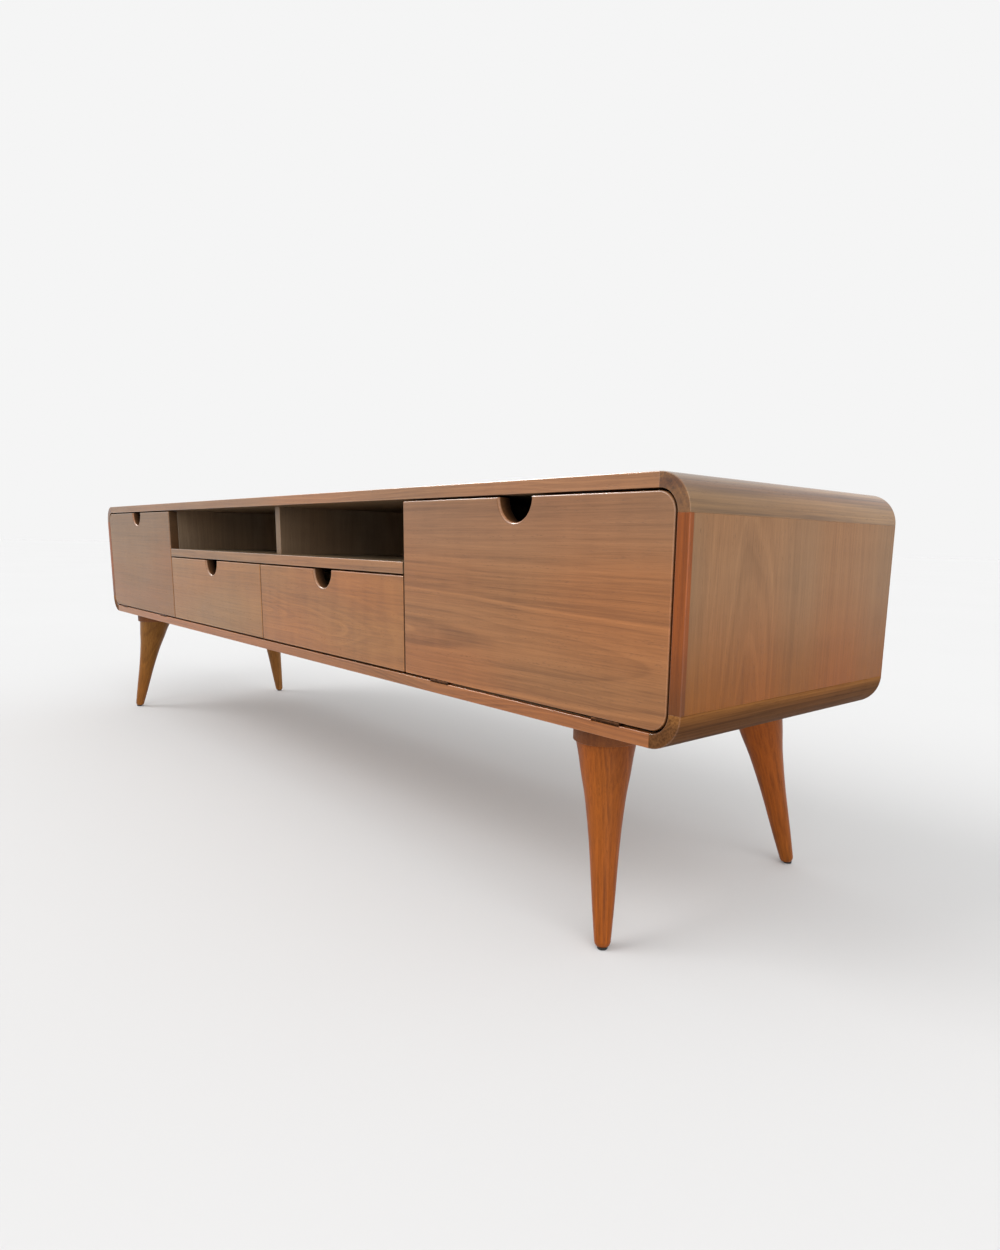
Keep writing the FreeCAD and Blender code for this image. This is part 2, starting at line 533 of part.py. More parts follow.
carcass_leaves, pins, guides, catches, fitting = [], [], [], [], []
leaf_space_low = []
R_s, h_s = S["stay_radius"], S["stay_half"]
for side, word in ((-1, "left"), (1, "right")):
    xs = span(side, FLAP_IN, "width/2-board-front_gap")
    n = word + "_flap"
    front(n, xs, FLAP_Z, outer=side)
    flap_leaves, leaf_space, flap_screws = [], [], []
    K, L, r, rp, play = S["knuckle"], S["hinge_half"], S["knuckle"], S["hinge_pin"], S["pin_play"]
    t = S["hinge_leaf"]
    for dx in (-S["hinge_apart"], S["hinge_apart"]):
        xc = side * flap_mid + dx
        third = L / 3

        def knuckle(x0, x1, radius):
            return Part.makeCylinder(radius, x1 - x0, Vector(x0, pivot_y, pivot_z), RIGHT)
        # lower leaf, let into the top of the bottom panel, with the two outer knuckles
        plate = Part.makeBox(2 * L, 20, t, Vector(xc - L, pivot_y, floor_z - t))
        a = plate.cut(knuckle(xc - third - 0.15, xc + third + 0.15, K + 0.15))
        a = a.fuse([knuckle(xc - L, xc - third - 0.15, K), knuckle(xc + third + 0.15, xc + L, K)])
        a = a.cut(knuckle(xc - L - 1, xc + L + 1, rp)).removeSplitter()
        # upper leaf, let into the lower edge of the flap, with the middle knuckle
        plate = Part.makeBox(2 * L, S["front_board"] - S["pivot_in"], t, Vector(xc - L, pivot_y, flap_z0))
        f = plate.cut([knuckle(xc - L - 1, xc - third + 0.15, K + 0.15), knuckle(xc + third - 0.15, xc + L + 1, K + 0.15)])
        f = f.fuse(knuckle(xc - third + 0.15, xc + third - 0.15, K))
        f = f.cut(knuckle(xc - L - 1, xc + L + 1, rp + play)).removeSplitter()
        low_screws = [((xc + d, pivot_y + 12, floor_z), (0, 0, -1), 1.2, 10, 2.3, 1.0) for d in (-12, 12)]
        up_screws = [((xc + d, pivot_y + 9, flap_z0), (0, 0, 1), 1.2, 12, 2.3, 1.0) for d in (-12, 12)]
        for w in low_screws:
            a = a.cut(screw(*w, recess=False))
        for w in up_screws:
            f = f.cut(screw(*w, recess=False))
        carcass_leaves.append(a)
        flap_leaves.append(f)
        fitting += low_screws
        flap_screws += up_screws
        pins.append(knuckle(xc - L, xc + L, rp))
        leaf_space_low.append(Part.makeBox(2 * L, 20, t, Vector(xc - L, pivot_y, floor_z - t)))
        leaf_space_low.append(knuckle(xc - L - 0.2, xc + L + 0.2, K + 0.15))
        leaf_space.append(Part.makeBox(2 * L, S["front_board"] - S["pivot_in"], t, Vector(xc - L, pivot_y, flap_z0)))
        leaf_space.append(knuckle(xc - L - 0.2, xc + L + 0.2, K + 0.15))
    piece(word + "_flap_hinge_leaves", made(word + "_flap_hinge_leaves", Part.makeCompound(flap_leaves)), 2)
    tool(n, made(word + "_flap_leaf_spaces", Part.makeCompound(leaf_space[0::2])),
         made(word + "_flap_knuckle_spaces", Part.makeCompound(leaf_space[1::2])))

    # quadrant stay: an arc about the hinge line, fixed to the flap near the partition
    x_part = side * part_out
    xa = x_part + side * 8.0

    def xbox(x0, dx, y0, dy, z0, dz):
        """Box given from the partition face outwards, and from the hinge line backwards and upwards."""
        lo = x_part + side * x0 if side > 0 else x_part + side * (x0 + dx)
        return Part.makeBox(dx, dy, dz, Vector(lo, pivot_y + y0, pivot_z + z0))
    lo = min(xa, xa + side * S["stay_thick"])
    ring = Part.makeCylinder(R_s + h_s, S["stay_thick"], Vector(lo, pivot_y, pivot_z), RIGHT).cut(
        Part.makeCylinder(R_s - h_s, S["stay_thick"], Vector(lo, pivot_y, pivot_z), RIGHT))
    quarter = Part.makeBox(S["stay_thick"], 400, 400, Vector(lo, flap_back, pivot_z + 1.3))
    stay = ring.common(quarter)
    foot = xbox(5.0, 20.0, flap_back - pivot_y, 2.0, 165.0, 30.0)
    head = xbox(6.0, 6.0, R_s - h_s, 2 * h_s, 1.3, 3.8)
    stay = stay.fuse([foot, head]).removeSplitter()
    foot_screws = [((x_part + side * 19.0, flap_back + 2.0, pivot_z + z), (0, -1, 0), 1.5, 14, 2.8, 1.4) for z in (170, 190)]
    for w in foot_screws:
        stay = stay.cut(screw(*w, recess=False))
    flap_screws += foot_screws
    piece(word + "_flap_stay", made(word + "_flap_stay", stay))

    guide = xbox(0.0, 14.0, 19.2, 6.0, 166.0, 24.0).fuse(xbox(0.0, 2.0, 25.2, 20.0, 166.0, 24.0))
    guide = guide.cut(xbox(7.4, 3.2, 18.0, 8.5, 173.6, 10.0)).removeSplitter()
    guide_screws = [((x_part + side * 2.0, pivot_y + 36.0, pivot_z + z), (-side, 0, 0), 1.5, 11, 2.8, 1.4) for z in (171, 185)]
    for w in guide_screws:
        guide = guide.cut(screw(*w, recess=False))
    guides.append(guide)
    fitting += guide_screws

    # magnetic catch under the top panel, strike plate on the flap
    xm = side * (flap_mid + S["catch_off"])
    catch = Part.makeBox(40, 20, 12, Vector(xm - 20, flap_back + 1.8, ceil_z - 12))
    catch = catch.makeFillet(1.5, [e for e in catch.Edges if abs(e.BoundBox.ZMax - (ceil_z - 12)) < 1e-6])
    catch_screws = [((xm + d, flap_back + 13, ceil_z - 12), (0, 0, 1), 1.5, 21, 2.8, 1.8) for d in (-13, 13)]
    for w in catch_screws:
        catch = catch.cut(screw(*w, recess=False))
    catches.append(catch)
    fitting += catch_screws
    strike = Part.makeBox(32, 1.5, 11.5, Vector(xm - 16, flap_back, flap_z1 - 12.5))
    strike = strike.makeFillet(2.0, [e for e in strike.Edges if abs(e.BoundBox.YLength - 1.5) < 1e-6 and e.BoundBox.XLength < 1e-3 and e.BoundBox.ZLength < 1e-3])
    strike_screws = [((xm + d, flap_back + 1.5, flap_z1 - 6.75), (0, -1, 0), 1.2, 11, 2.2, 1.0) for d in (-11, 11)]
    for w in strike_screws:
        strike = strike.cut(screw(*w, recess=False))
    flap_screws += strike_screws
    piece(word + "_flap_strike_plate", made(word + "_flap_strike_plate", strike))

    holes = screws(word + "_flap_screws", flap_screws)
    tool(n, holes)

hinge_low = made("hinge_carcass_leaves", Part.makeCompound(carcass_leaves))
piece("hinge_carcass_leaves", hinge_low, 4)
piece("hinge_pins", made("hinge_pins", Part.makeCompound(pins)), 4)
piece("stay_guides", made("stay_guides", Part.makeCompound(guides)), 2)
piece("flap_catches", made("flap_catches", Part.makeCompound(catches)), 2)
leaf_spaces = made("low_leaf_spaces", Part.makeCompound(leaf_space_low[0::2]))
knuckle_spaces = made("low_knuckle_spaces", Part.makeCompound(leaf_space_low[1::2]))
tool("bottom_panel", leaf_spaces, knuckle_spaces)
tool("bottom_front_lipping", leaf_spaces, knuckle_spaces)

# ---------------------------------------------------------------- drawers
runners, stops = [], []
BOX_Y = (FRONT + "+front_board", FRONT + "+front_board+box_long")
BOX_Z = (FLOOR + "+box_low-15", FLOOR + "+box_low-15+box_high")
BOT = FLOOR + "+box_low-15+bottom_up"
RUN = FLOOR + "+box_low-15+runner_up"
bot_z = floor_z + S["box_low"] - 15 + S["bottom_up"]
run_z = floor_z + S["box_low"] - 15 + S["runner_up"]
box_back = front_y + S["front_board"] + S["box_long"]
for side, word in ((-1, "left"), (1, "right")):
    n = word + "_drawer"
    in_x = "partition/2+side_play"                       # outer faces of the box's sides
    out_x = FLAP_IN + "-side_play"
    front(n + "_front", span(side, "mid_gap/2", FLAP_IN + "-mid_gap"), DRAWER_Z)
    inner_side = board(n + "_inner_side", span(side, in_x, in_x + "+drawer_side"), BOX_Y, BOX_Z)
    outer_side = board(n + "_outer_side", span(side, out_x + "-drawer_side", out_x), BOX_Y, BOX_Z)
    ends = span(side, in_x + "+drawer_side-housing", out_x + "-drawer_side+housing")
    back = board(n + "_back", ends, (BOX_Y[1] + "-drawer_side", BOX_Y[1]),
                 (BOT + "+bottom_board", BOX_Z[1] + "-back_top"))
    bottom = board(n + "_bottom", span(side, in_x + "+drawer_side-groove", out_x + "-drawer_side+groove"),
                   (BOX_Y[0] + "-groove", BOX_Y[1]), (BOT, BOT + "+bottom_board"))
    for b, m in ((inner_side, "_inner_side"), (outer_side, "_outer_side"), (back, "_back"), (bottom, "_bottom")):
        ease(b, "0.8", lambda e: abs(e.Vertexes[0].Z - e.Vertexes[-1].Z) < 1e-4 and
             e.Vertexes[0].Z > 1 and e.BoundBox.DiagonalLength > 50, "top") if m != "_bottom" else None
        piece(n + m, b)
    # runner grooves on the outer faces of the sides, open at the back
    gy = (BOX_Y[0] + "+runner_front", BOX_Y[1] + "+5")
    gz = (RUN + "-runner_play", RUN + "+runner_high+runner_play")
    tool(n + "_inner_side", box(n + "_inner_groove", span(side, in_x + "-5", in_x + "+runner_groove"), gy, gz), back, bottom)
    tool(n + "_outer_side", box(n + "_outer_groove", span(side, out_x + "-runner_groove", out_x + "+5"), gy, gz), back, bottom)
    tool(n + "_front", bottom)
    ry = (BOX_Y[0] + "+runner_front+0.5", BOX_Y[1] + "-runner_back")
    rz = (RUN, RUN + "+runner_high")
    runners.append(box(word + "_inner_runner", span(side, "partition/2", "partition/2+runner_thick"), ry, rz))
    runners.append(box(word + "_outer_runner", span(side, FLAP_IN + "-runner_thick", FLAP_IN), ry, rz))
    for y in (-150, 0, 130):
        zc = run_z + S["runner_high"] / 2
        fitting.append(((side * (S["partition"] / 2 + S["runner_thick"]), y, zc), (-side, 0, 0), 1.75, 16.5, 3.4, 2.2))
        fitting.append(((side * (flap_in - S["runner_thick"]), y, zc), (side, 0, 0), 1.75, 16.5, 3.4, 2.2))
    # stop button on the drawer's back, and the strip under the shelf that it meets
    cx = side * (S["partition"] / 2 + flap_in) / 2
    top_z = sh0 - 4
    button = Part.makeBox(S["stop_wide"], S["stop_thick"], 34, Vector(cx - S["stop_wide"] / 2, box_back, top_z - 34))
    button = button.makeFillet(5.0, [e for e in button.Edges if abs(e.BoundBox.YLength - S["stop_thick"]) < 1e-6
                                     and e.BoundBox.XLength < 1e-3 and e.BoundBox.ZLength < 1e-3])
    own = [((cx, box_back + S["stop_thick"], top_z - 24), (0, -1, 0), 1.75, 15, 3.4, 2.2)]
    button = button.cut(screw(*own[0], recess=False))
    piece(n + "_stop_button", made(n + "_stop_button", button))
    own += [((cx + d, box_back - S["drawer_side"] / 2, bot_z), (0, 0, 1), 1.5, 20, 2.8, 1.8) for d in (-150, 0, 150)]
    holes = screws(n + "_screws", own)
    tool(n + "_back", holes)
    tool(n + "_bottom", holes)
    ys = (BOX_Y[1] + "-drawer_travel-0.3-stop_strip", BOX_Y[1] + "-drawer_travel-0.3")
    mid = "(partition/2+%s)/2" % FLAP_IN
    stops.append(box(word + "_stop_strip", span(side, mid + "-128", mid + "+128"), ys, (SH0 + "-stop_drop", SH0)))
    y = box_back - S["drawer_travel"] - 0.3 - S["stop_strip"] / 2
    for d in (-90, 90):
        fitting.append(((cx + d, y, sh0 - S["stop_drop"]), (0, 0, 1), 1.5, 19, 2.8, 1.8))

piece("drawer_runners", compound("drawer_runners", runners), 4)
piece("drawer_stop_strips", compound("drawer_stop_strips", stops), 2)
fit_holes = screws("fitting_screws", fitting)
for n in ("top_panel", "bottom_panel", "bottom_front_lipping", "left_partition", "right_partition",
          "drawer_partition", "middle_shelf", "drawer_runners", "drawer_stop_strips"):
    tool(n, fit_holes)

# ---------------------------------------------------------------- check and write
finish_pieces()
doc.recompute()
bad = []
for o in doc.Objects:
    if "Invalid" in o.State or "Error" in o.State:
        bad.append("%s state %s" % (o.Name, o.State))
for name, o, solids in PARTS:
    sh = o.Shape
    if sh.isNull() or not sh.isValid():
        bad.append(name + " has no valid shape")
    elif len(sh.Solids) != solids:
        bad.append("%s has %d solids, not %d" % (name, len(sh.Solids), solids))
for c, blank in CUTS:
    if not c.Shape.Volume < blank.Shape.Volume - 0.5:
        bad.append(c.Label + " lost nothing to its cutters")
for o in doc.Objects:
    if o.TypeId == "PartDesign::Groove":
        before = o.Shape.Volume
        if not before < o.BaseFeature.Shape.Volume - 1000:
            bad.append(o.Name + " cut nothing")
if len(PARTS) > 60 or len(set(p[0] for p in PARTS)) != len(PARTS):
    bad.append("%d sub-parts" % len(PARTS))
if bad:
    raise RuntimeError("; ".join(bad))

os.makedirs("parts", exist_ok=True)
for name, o, solids in PARTS:
    o.Shape.exportStep("parts/%s.step" % name)
print("%d sub-parts, %d solids" % (len(PARTS), sum(p[2] for p in PARTS)))
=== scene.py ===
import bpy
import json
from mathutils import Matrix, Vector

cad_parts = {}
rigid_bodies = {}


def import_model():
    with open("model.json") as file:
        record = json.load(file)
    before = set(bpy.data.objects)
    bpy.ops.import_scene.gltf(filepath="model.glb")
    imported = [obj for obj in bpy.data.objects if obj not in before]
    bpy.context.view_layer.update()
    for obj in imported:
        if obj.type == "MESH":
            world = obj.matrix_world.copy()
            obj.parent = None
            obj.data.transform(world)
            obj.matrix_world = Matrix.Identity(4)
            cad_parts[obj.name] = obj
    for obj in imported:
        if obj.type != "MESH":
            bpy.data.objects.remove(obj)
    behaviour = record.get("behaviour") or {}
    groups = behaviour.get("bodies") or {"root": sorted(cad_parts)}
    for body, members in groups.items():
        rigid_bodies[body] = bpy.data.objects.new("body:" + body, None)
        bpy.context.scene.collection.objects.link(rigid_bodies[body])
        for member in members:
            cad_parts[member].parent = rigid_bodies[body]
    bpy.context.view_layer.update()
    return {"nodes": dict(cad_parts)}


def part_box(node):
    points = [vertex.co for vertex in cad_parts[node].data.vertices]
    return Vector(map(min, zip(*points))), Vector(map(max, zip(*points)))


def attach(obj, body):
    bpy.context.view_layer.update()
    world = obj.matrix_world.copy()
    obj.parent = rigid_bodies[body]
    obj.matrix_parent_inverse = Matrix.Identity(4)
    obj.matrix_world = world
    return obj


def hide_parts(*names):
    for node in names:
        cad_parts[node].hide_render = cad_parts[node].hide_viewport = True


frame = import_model()

import json
import math

import bmesh
import bpy
from mathutils import Matrix, Vector

scene = bpy.context.scene
nodes = frame["nodes"]
MM = 0.001

# ------------------------------------------------------------------ camera
# Seen from the right front corner, a little below the level of the top.
az, pitch, roll = math.radians(46.94), math.radians(10.48), math.radians(1.22)
ahead = Vector((-math.sin(az) * math.cos(pitch), math.cos(az) * math.cos(pitch), -math.sin(pitch)))
across = Vector((math.cos(az), math.sin(az), 0.0))
upward = across.cross(ahead)
right_v = across * math.cos(roll) + upward * math.sin(roll)
up_v = upward * math.cos(roll) - across * math.sin(roll)
cam_data = bpy.data.cameras.new("camera")
cam_data.sensor_width = 36.0
cam_data.lens = 23.088
cam_data.shift_x, cam_data.shift_y = -0.04673, 0.05364
cam_data.clip_start, cam_data.clip_end = 0.02, 400.0
camera = bpy.data.objects.new("camera", cam_data)
scene.collection.objects.link(camera)
m = Matrix((right_v, up_v, -ahead)).transposed().to_4x4()
m.translation = Vector((1.4115, -0.7942, 0.4415))
camera.matrix_world = m
scene.camera = camera
scene.view_settings.view_transform = "Standard"


# ------------------------------------------------------------------ node helpers
def rgb(hexa):
    """Linear colour of an sRGB hex string."""
    c = [int(hexa[i:i + 2], 16) / 255 for i in (0, 2, 4)]
    return tuple(x / 12.92 if x <= 0.04045 else ((x + 0.055) / 1.055) ** 2.4 for x in c) + (1.0,)


def scaled(c, k):
    k = k if isinstance(k, (tuple, list)) else (k, k, k)
    return (c[0] * k[0], c[1] * k[1], c[2] * k[2], 1.0)


class Tree:
    """A small writer of shader node trees: every call returns an output socket."""

    def __init__(self, name, world=False):
        if world:
            self.owner = bpy.data.worlds.new(name)
        else:
            self.owner = bpy.data.materials.new(name)
        self.owner.use_nodes = True
        self.t = self.owner.node_tree
        self.t.nodes.clear()

    def put(self, socket, value):
        if isinstance(value, bpy.types.NodeSocket):
            self.t.links.new(value, socket)
        elif value is not None:
            socket.default_value = value

    def node(self, kind, **props):
        n = self.t.nodes.new(kind)
        for k, v in props.items():
            setattr(n, k, v)
        return n

    def math(self, op, a, b=None, c=None, clamp=False):
        n = self.node("ShaderNodeMath", operation=op, use_clamp=clamp)
        for i, v in enumerate((a, b, c)):
            self.put(n.inputs[i], v)
        return n.outputs[0]

    def add(self, a, b):
        return self.math("ADD", a, b)

    def mul(self, a, b):
        return self.math("MULTIPLY", a, b)

    def sub(self, a, b):
        return self.math("SUBTRACT", a, b)

    def coords(self):
        return self.node("ShaderNodeTexCoord").outputs["Object"]

    def dot(self, v, axis):
        n = self.node("ShaderNodeVectorMath", operation="DOT_PRODUCT")
        self.put(n.inputs[0], v)
        self.put(n.inputs[1], axis)
        return n.outputs["Value"]

    def join(self, x, y, z):
        n = self.node("ShaderNodeCombineXYZ")
        for i, v in enumerate((x, y, z)):
            self.put(n.inputs[i], v)
        return n.outputs[0]

    def stretch(self, uvw, a, b, c, off=(0.0, 0.0, 0.0)):
        u, v, w = uvw
        return self.join(self.math("MULTIPLY_ADD", u, a, off[0]), self.math("MULTIPLY_ADD", v, b, off[1]),
                         self.math("MULTIPLY_ADD", w, c, off[2]))

    def noise(self, vec, scale=1.0, detail=2.0, rough=0.5, dist=0.0):
        n = self.node("ShaderNodeTexNoise", noise_dimensions="3D")
        self.put(n.inputs["Vector"], vec)
        n.inputs["Scale"].default_value = scale
        n.inputs["Detail"].default_value = detail
        n.inputs["Roughness"].default_value = rough
        n.inputs["Distortion"].default_value = dist
        return n.outputs[0]

    def line_noise(self, w, scale=1.0, detail=1.0):
        n = self.node("ShaderNodeTexNoise", noise_dimensions="1D")
        self.put(n.inputs["W"], w)
        n.inputs["Scale"].default_value = scale
        n.inputs["Detail"].default_value = detail
        return n.outputs[0]

    def white(self, w):
        n = self.node("ShaderNodeTexWhiteNoise", noise_dimensions="1D")
        self.put(n.inputs["W"], w)
        return n.outputs["Value"]

    def cells(self, vec, scale=1.0, feature="F1", random=1.0):
        n = self.node("ShaderNodeTexVoronoi", voronoi_dimensions="3D", feature=feature)
        self.put(n.inputs["Vector"], vec)
        n.inputs["Scale"].default_value = scale
        n.inputs["Randomness"].default_value = random
        return n.outputs["Distance"]

    def remap(self, x, a, b, c=0.0, d=1.0, kind="SMOOTHSTEP"):
        n = self.node("ShaderNodeMapRange", interpolation_type=kind)
        self.put(n.inputs["Value"], x)
        for key, v in (("From Min", a), ("From Max", b), ("To Min", c), ("To Max", d)):
            self.put(n.inputs[key], v)
        return n.outputs["Result"]

    def ramp(self, fac, stops, kind="LINEAR"):
        n = self.node("ShaderNodeValToRGB")
        n.color_ramp.interpolation = kind
        e = n.color_ramp.elements
        while len(e) < len(stops):
            e.new(0.5)
        for item, (pos, col) in zip(e, stops):
            item.position, item.color = pos, col
        self.put(n.inputs[0], fac)
        return n.outputs[0]

    def mix(self, fac, a, b, mode="MIX"):
        n = self.node("ShaderNodeMix", data_type="RGBA", blend_type=mode)
        n.clamp_factor = True
        self.put(n.inputs[0], fac)
        self.put(n.inputs[6], a)
        self.put(n.inputs[7], b)
        return n.outputs[2]

    def attribute(self, name):
        return self.node("ShaderNodeAttribute", attribute_name=name).outputs["Fac"]

    def bump(self, height, strength, distance, normal=None):
        n = self.node("ShaderNodeBump")
        n.inputs["Strength"].default_value = strength
        n.inputs["Distance"].default_value = distance
        self.put(n.inputs["Height"], height)
        if normal is not None:
            self.put(n.inputs["Normal"], normal)
        return n.outputs[0]

    def surface(self, **ins):
        b = self.node("ShaderNodeBsdfPrincipled")
        for k, v in ins.items():
            self.put(b.inputs[k.replace("_", " ")], v)
        out = self.node("ShaderNodeOutputMaterial")
        self.t.links.new(b.outputs[0], out.inputs[0])
        return self.owner


# ------------------------------------------------------------------ walnut
# colour of the bare wood under the lacquer, as linear reflectance
WOOD = {
    "front": (0.262, 0.117, 0.045),
    "side": (0.250, 0.122, 0.050),
    "top": (0.262, 0.116, 0.046),
    "lip": (0.285, 0.134, 0.058),
    "lip2": (0.262, 0.098, 0.028),
    "post": (0.230, 0.058, 0.0075),
    "block": (0.182, 0.092, 0.032),
    # painted shade: a darker, redder copy of the corner block colour, for the bottom blocks
    "block_painted_shade": (0.112, 0.045, 0.014),
    "inner": (0.165, 0.118, 0.070),
    "leg": (0.240, 0.066, 0.006),
    "collar": (0.170, 0.055, 0.010),
}


def walnut(name, grain, face, at=(0.0, 0.0, 0.0), wood="front", pith=(0.0, -0.05), tilt=(0.0, 0.07), period=0.0075, seed=0.0,
           figure=1.0, wobble=1.0, streak=1.0, gloss=0.38, coat=0.12, spec=0.28, gain=1.0, patchy=1.0, curl=1.0, reach=None, ends=(0.74, 0.70, 0.66), painted_light=None, rim=0.75):
    """Lacquered walnut. grain is the axis that the fibres run along, face the normal of the board's face, and at its
    middle.
    pith is where the heart of the tree lies, in metres across and behind the face; tilt is how the cut runs off it.
    reach is how far from the heart the rings stay plain to see; beyond it they give way to straight, quiet grain. The
    tints laid along an axis are painted light: they paint shade, highlights and reflections into the colour.
    rim is how much thicker the lacquer lies on the rounded edges."""
    g, f = Vector(grain).normalized(), Vector(face).normalized()
    a = f.cross(g).normalized()
    at = Vector(at)
    t = Tree(name)
    p = t.coords()
    u, v, w = (t.sub(t.dot(p, k), at.dot(k)) for k in (g, a, f))
    uvw = (u, v, w)
    s = seed * 3.71

    # slow wander of the fibres, then the growth rings round the heart
    bend_v = t.sub(t.noise(t.stretch(uvw, 2.1, 5.0, 5.0, (s, s * 1.3, 1.7)), 1.0, 2.0, 0.5), 0.5)
    bend_w = t.sub(t.noise(t.stretch(uvw, 3.1, 8.0, 8.0, (s + 9.1, s * 0.7, 4.2)), 1.0, 2.0, 0.5), 0.5)
    small = t.sub(t.noise(t.stretch(uvw, 9.0, 42.0, 42.0, (s, 2.0, s)), 1.0, 2.0, 0.5), 0.5)
    dv = t.add(t.math("MULTIPLY_ADD", u, tilt[0], -pith[0]), t.math("MULTIPLY_ADD", bend_v, 0.060 * wobble, v))
    dw = t.add(t.math("MULTIPLY_ADD", u, tilt[1], -pith[1]), t.math("MULTIPLY_ADD", bend_w, 0.036 * wobble, w))
    radius = t.math("SQRT", t.add(t.mul(dv, dv), t.mul(dw, dw)))
    radius = t.math("MULTIPLY_ADD", small, 0.0030 * wobble, radius)
    turns = t.math("MULTIPLY_ADD", radius, 1.0 / period, t.mul(t.line_noise(t.math("MULTIPLY_ADD", radius, 34.0, s)), 2.2))
    ring = t.math("FRACT", turns)
    which = t.white(t.add(t.math("FLOOR", turns), s))
    late = t.mul(t.math("POWER", ring, 2.2), t.remap(ring, 0.84, 1.0, 1.0, 0.0))
    late = t.mul(late, t.math("MULTIPLY_ADD", which, 1.0, 0.15))
    pale = t.remap(t.math("ABSOLUTE", t.sub(ring, 0.42)), 0.04, 0.20, 1.0, 0.0)
    pale = t.mul(pale, t.remap(t.white(t.add(t.math("FLOOR", turns), s + 7.3)), 0.25, 0.9))
    if reach:
        plain = t.remap(radius, reach * 0.6, reach * 1.4, 1.0, 0.30)
        late, pale = t.mul(late, plain), t.mul(pale, plain)
    band = t.line_noise(t.math("MULTIPLY_ADD", radius, 95.0, s + 4.0), 1.0, 2.0)

    # broad colour streaks, fibres, and a faint shimmer across the grain
    wide = t.noise(t.stretch(uvw, 1.3, 26.0, 26.0, (s, s * 2.1, 0.4)), 1.0, 3.0, 0.55)
    mid = t.noise(t.stretch(uvw, 3.6, 380.0, 380.0, (s, 1.0, s)), 1.0, 3.0, 0.6)
    fibre = t.noise(t.stretch(uvw, 24.0, 1500.0, 1500.0, (s, 5.0, s)), 1.0, 2.0, 0.6)
    patch = t.noise(t.stretch(uvw, 2.4, 7.5, 7.5, (s + 3.0, s, 8.8)), 1.0, 1.0, 0.5)
    sway = t.noise(t.stretch(uvw, 38.0, 10.0, 10.0, (s, s, 2.6)), 1.0, 1.0, 0.5)

    # open pores: short dark dashes along the grain, thicker in the early wood
    early = t.remap(ring, 0.05, 0.75, 1.0, 0.30)
    thick = t.remap(t.noise(t.stretch(uvw, 7.0, 120.0, 120.0, (1.0, s, s)), 1.0, 1.0), 0.35, 0.65, 0.25, 1.0)
    dash = t.cells(t.stretch(uvw, 82.0, 860.0, 860.0, (s, 0.0, 0.0)))
    pore = t.mul(t.mul(t.remap(dash, 0.10, 0.30, 1.0, 0.0), early), thick)
    hair = t.cells(t.stretch(uvw, 220.0, 2500.0, 2500.0, (0.0, s, 0.0)))
    pore2 = t.mul(t.remap(hair, 0.08, 0.34, 1.0, 0.0), early)

    tone = t.math("MULTIPLY_ADD", t.sub(wide, 0.5), 0.36 * streak, 0.5)
    tone = t.math("MULTIPLY_ADD", t.sub(mid, 0.5), 0.56 * streak, tone)
    tone = t.math("MULTIPLY_ADD", t.sub(fibre, 0.5), 0.38, tone)
    tone = t.math("MULTIPLY_ADD", t.sub(band, 0.5), 0.34 * figure, tone)
    tone = t.math("MULTIPLY_ADD", t.sub(sway, 0.5), 0.12 * curl, tone)
    tone = t.math("MULTIPLY_ADD", late, -0.19 * figure, tone)
    tone = t.math("MULTIPLY_ADD", pale, 0.20 * figure, tone)
    base = scaled(WOOD[wood], gain)
    darkest = scaled(base, (0.30, 0.27, 0.26))
    colour = t.ramp(tone, [(0.0, darkest), (0.28, scaled(base, (0.68, 0.66, 0.65))), (0.52, base), (0.90, scaled(base, (1.42, 1.46, 1.50)))])
    warm = t.mix(1.0, colour, (1.12, 0.95, 0.82, 1.0), "MULTIPLY")
    cool = t.mix(1.0, colour, (0.94, 1.0, 1.10, 1.0), "MULTIPLY")
    hue = t.mix(t.remap(patch, 0.30, 0.70), warm, cool)
    colour = t.mix(0.8 * patchy, colour, hue)
    colour = t.mix(t.mul(pore, 0.55), colour, darkest)
    colour = t.mix(t.mul(pore2, 0.20), colour, darkest)

    # cut ends are darker and drier
    normal = t.node("ShaderNodeNewGeometry").outputs["Normal"]
    end = t.remap(t.math("ABSOLUTE", t.dot(normal, g)), 0.72, 0.98)
    colour = t.mix(end, colour, t.mix(1.0, colour, tuple(ends) + (1.0,), "MULTIPLY"))
    # rubbed edges are a shade paler
    worn = t.mul(t.attribute("edge"), t.remap(t.noise(t.stretch(uvw, 60.0, 60.0, 60.0, (s, 0.0, 0.0)), 1.0, 3.0), 0.25, 0.7, 0.2, 0.75))
    colour = t.mix(worn, colour, t.mix(1.0, colour, (1.42, 1.40, 1.36, 1.0), "MULTIPLY"))
    # painted light: tints laid along an axis paint shade, highlights and reflections into the colour
    for axis, lo, hi, low_tint, high_tint in (painted_light or ()):
        lift = t.remap(t.math("MULTIPLY_ADD", bend_v, min(0.010, (hi - lo) * 0.9), t.dot(p, Vector(axis))), lo, hi, 0.0, 1.0)
        colour = t.mix(1.0, colour, t.mix(lift, low_tint + (1.0,), high_tint + (1.0,)), "MULTIPLY")

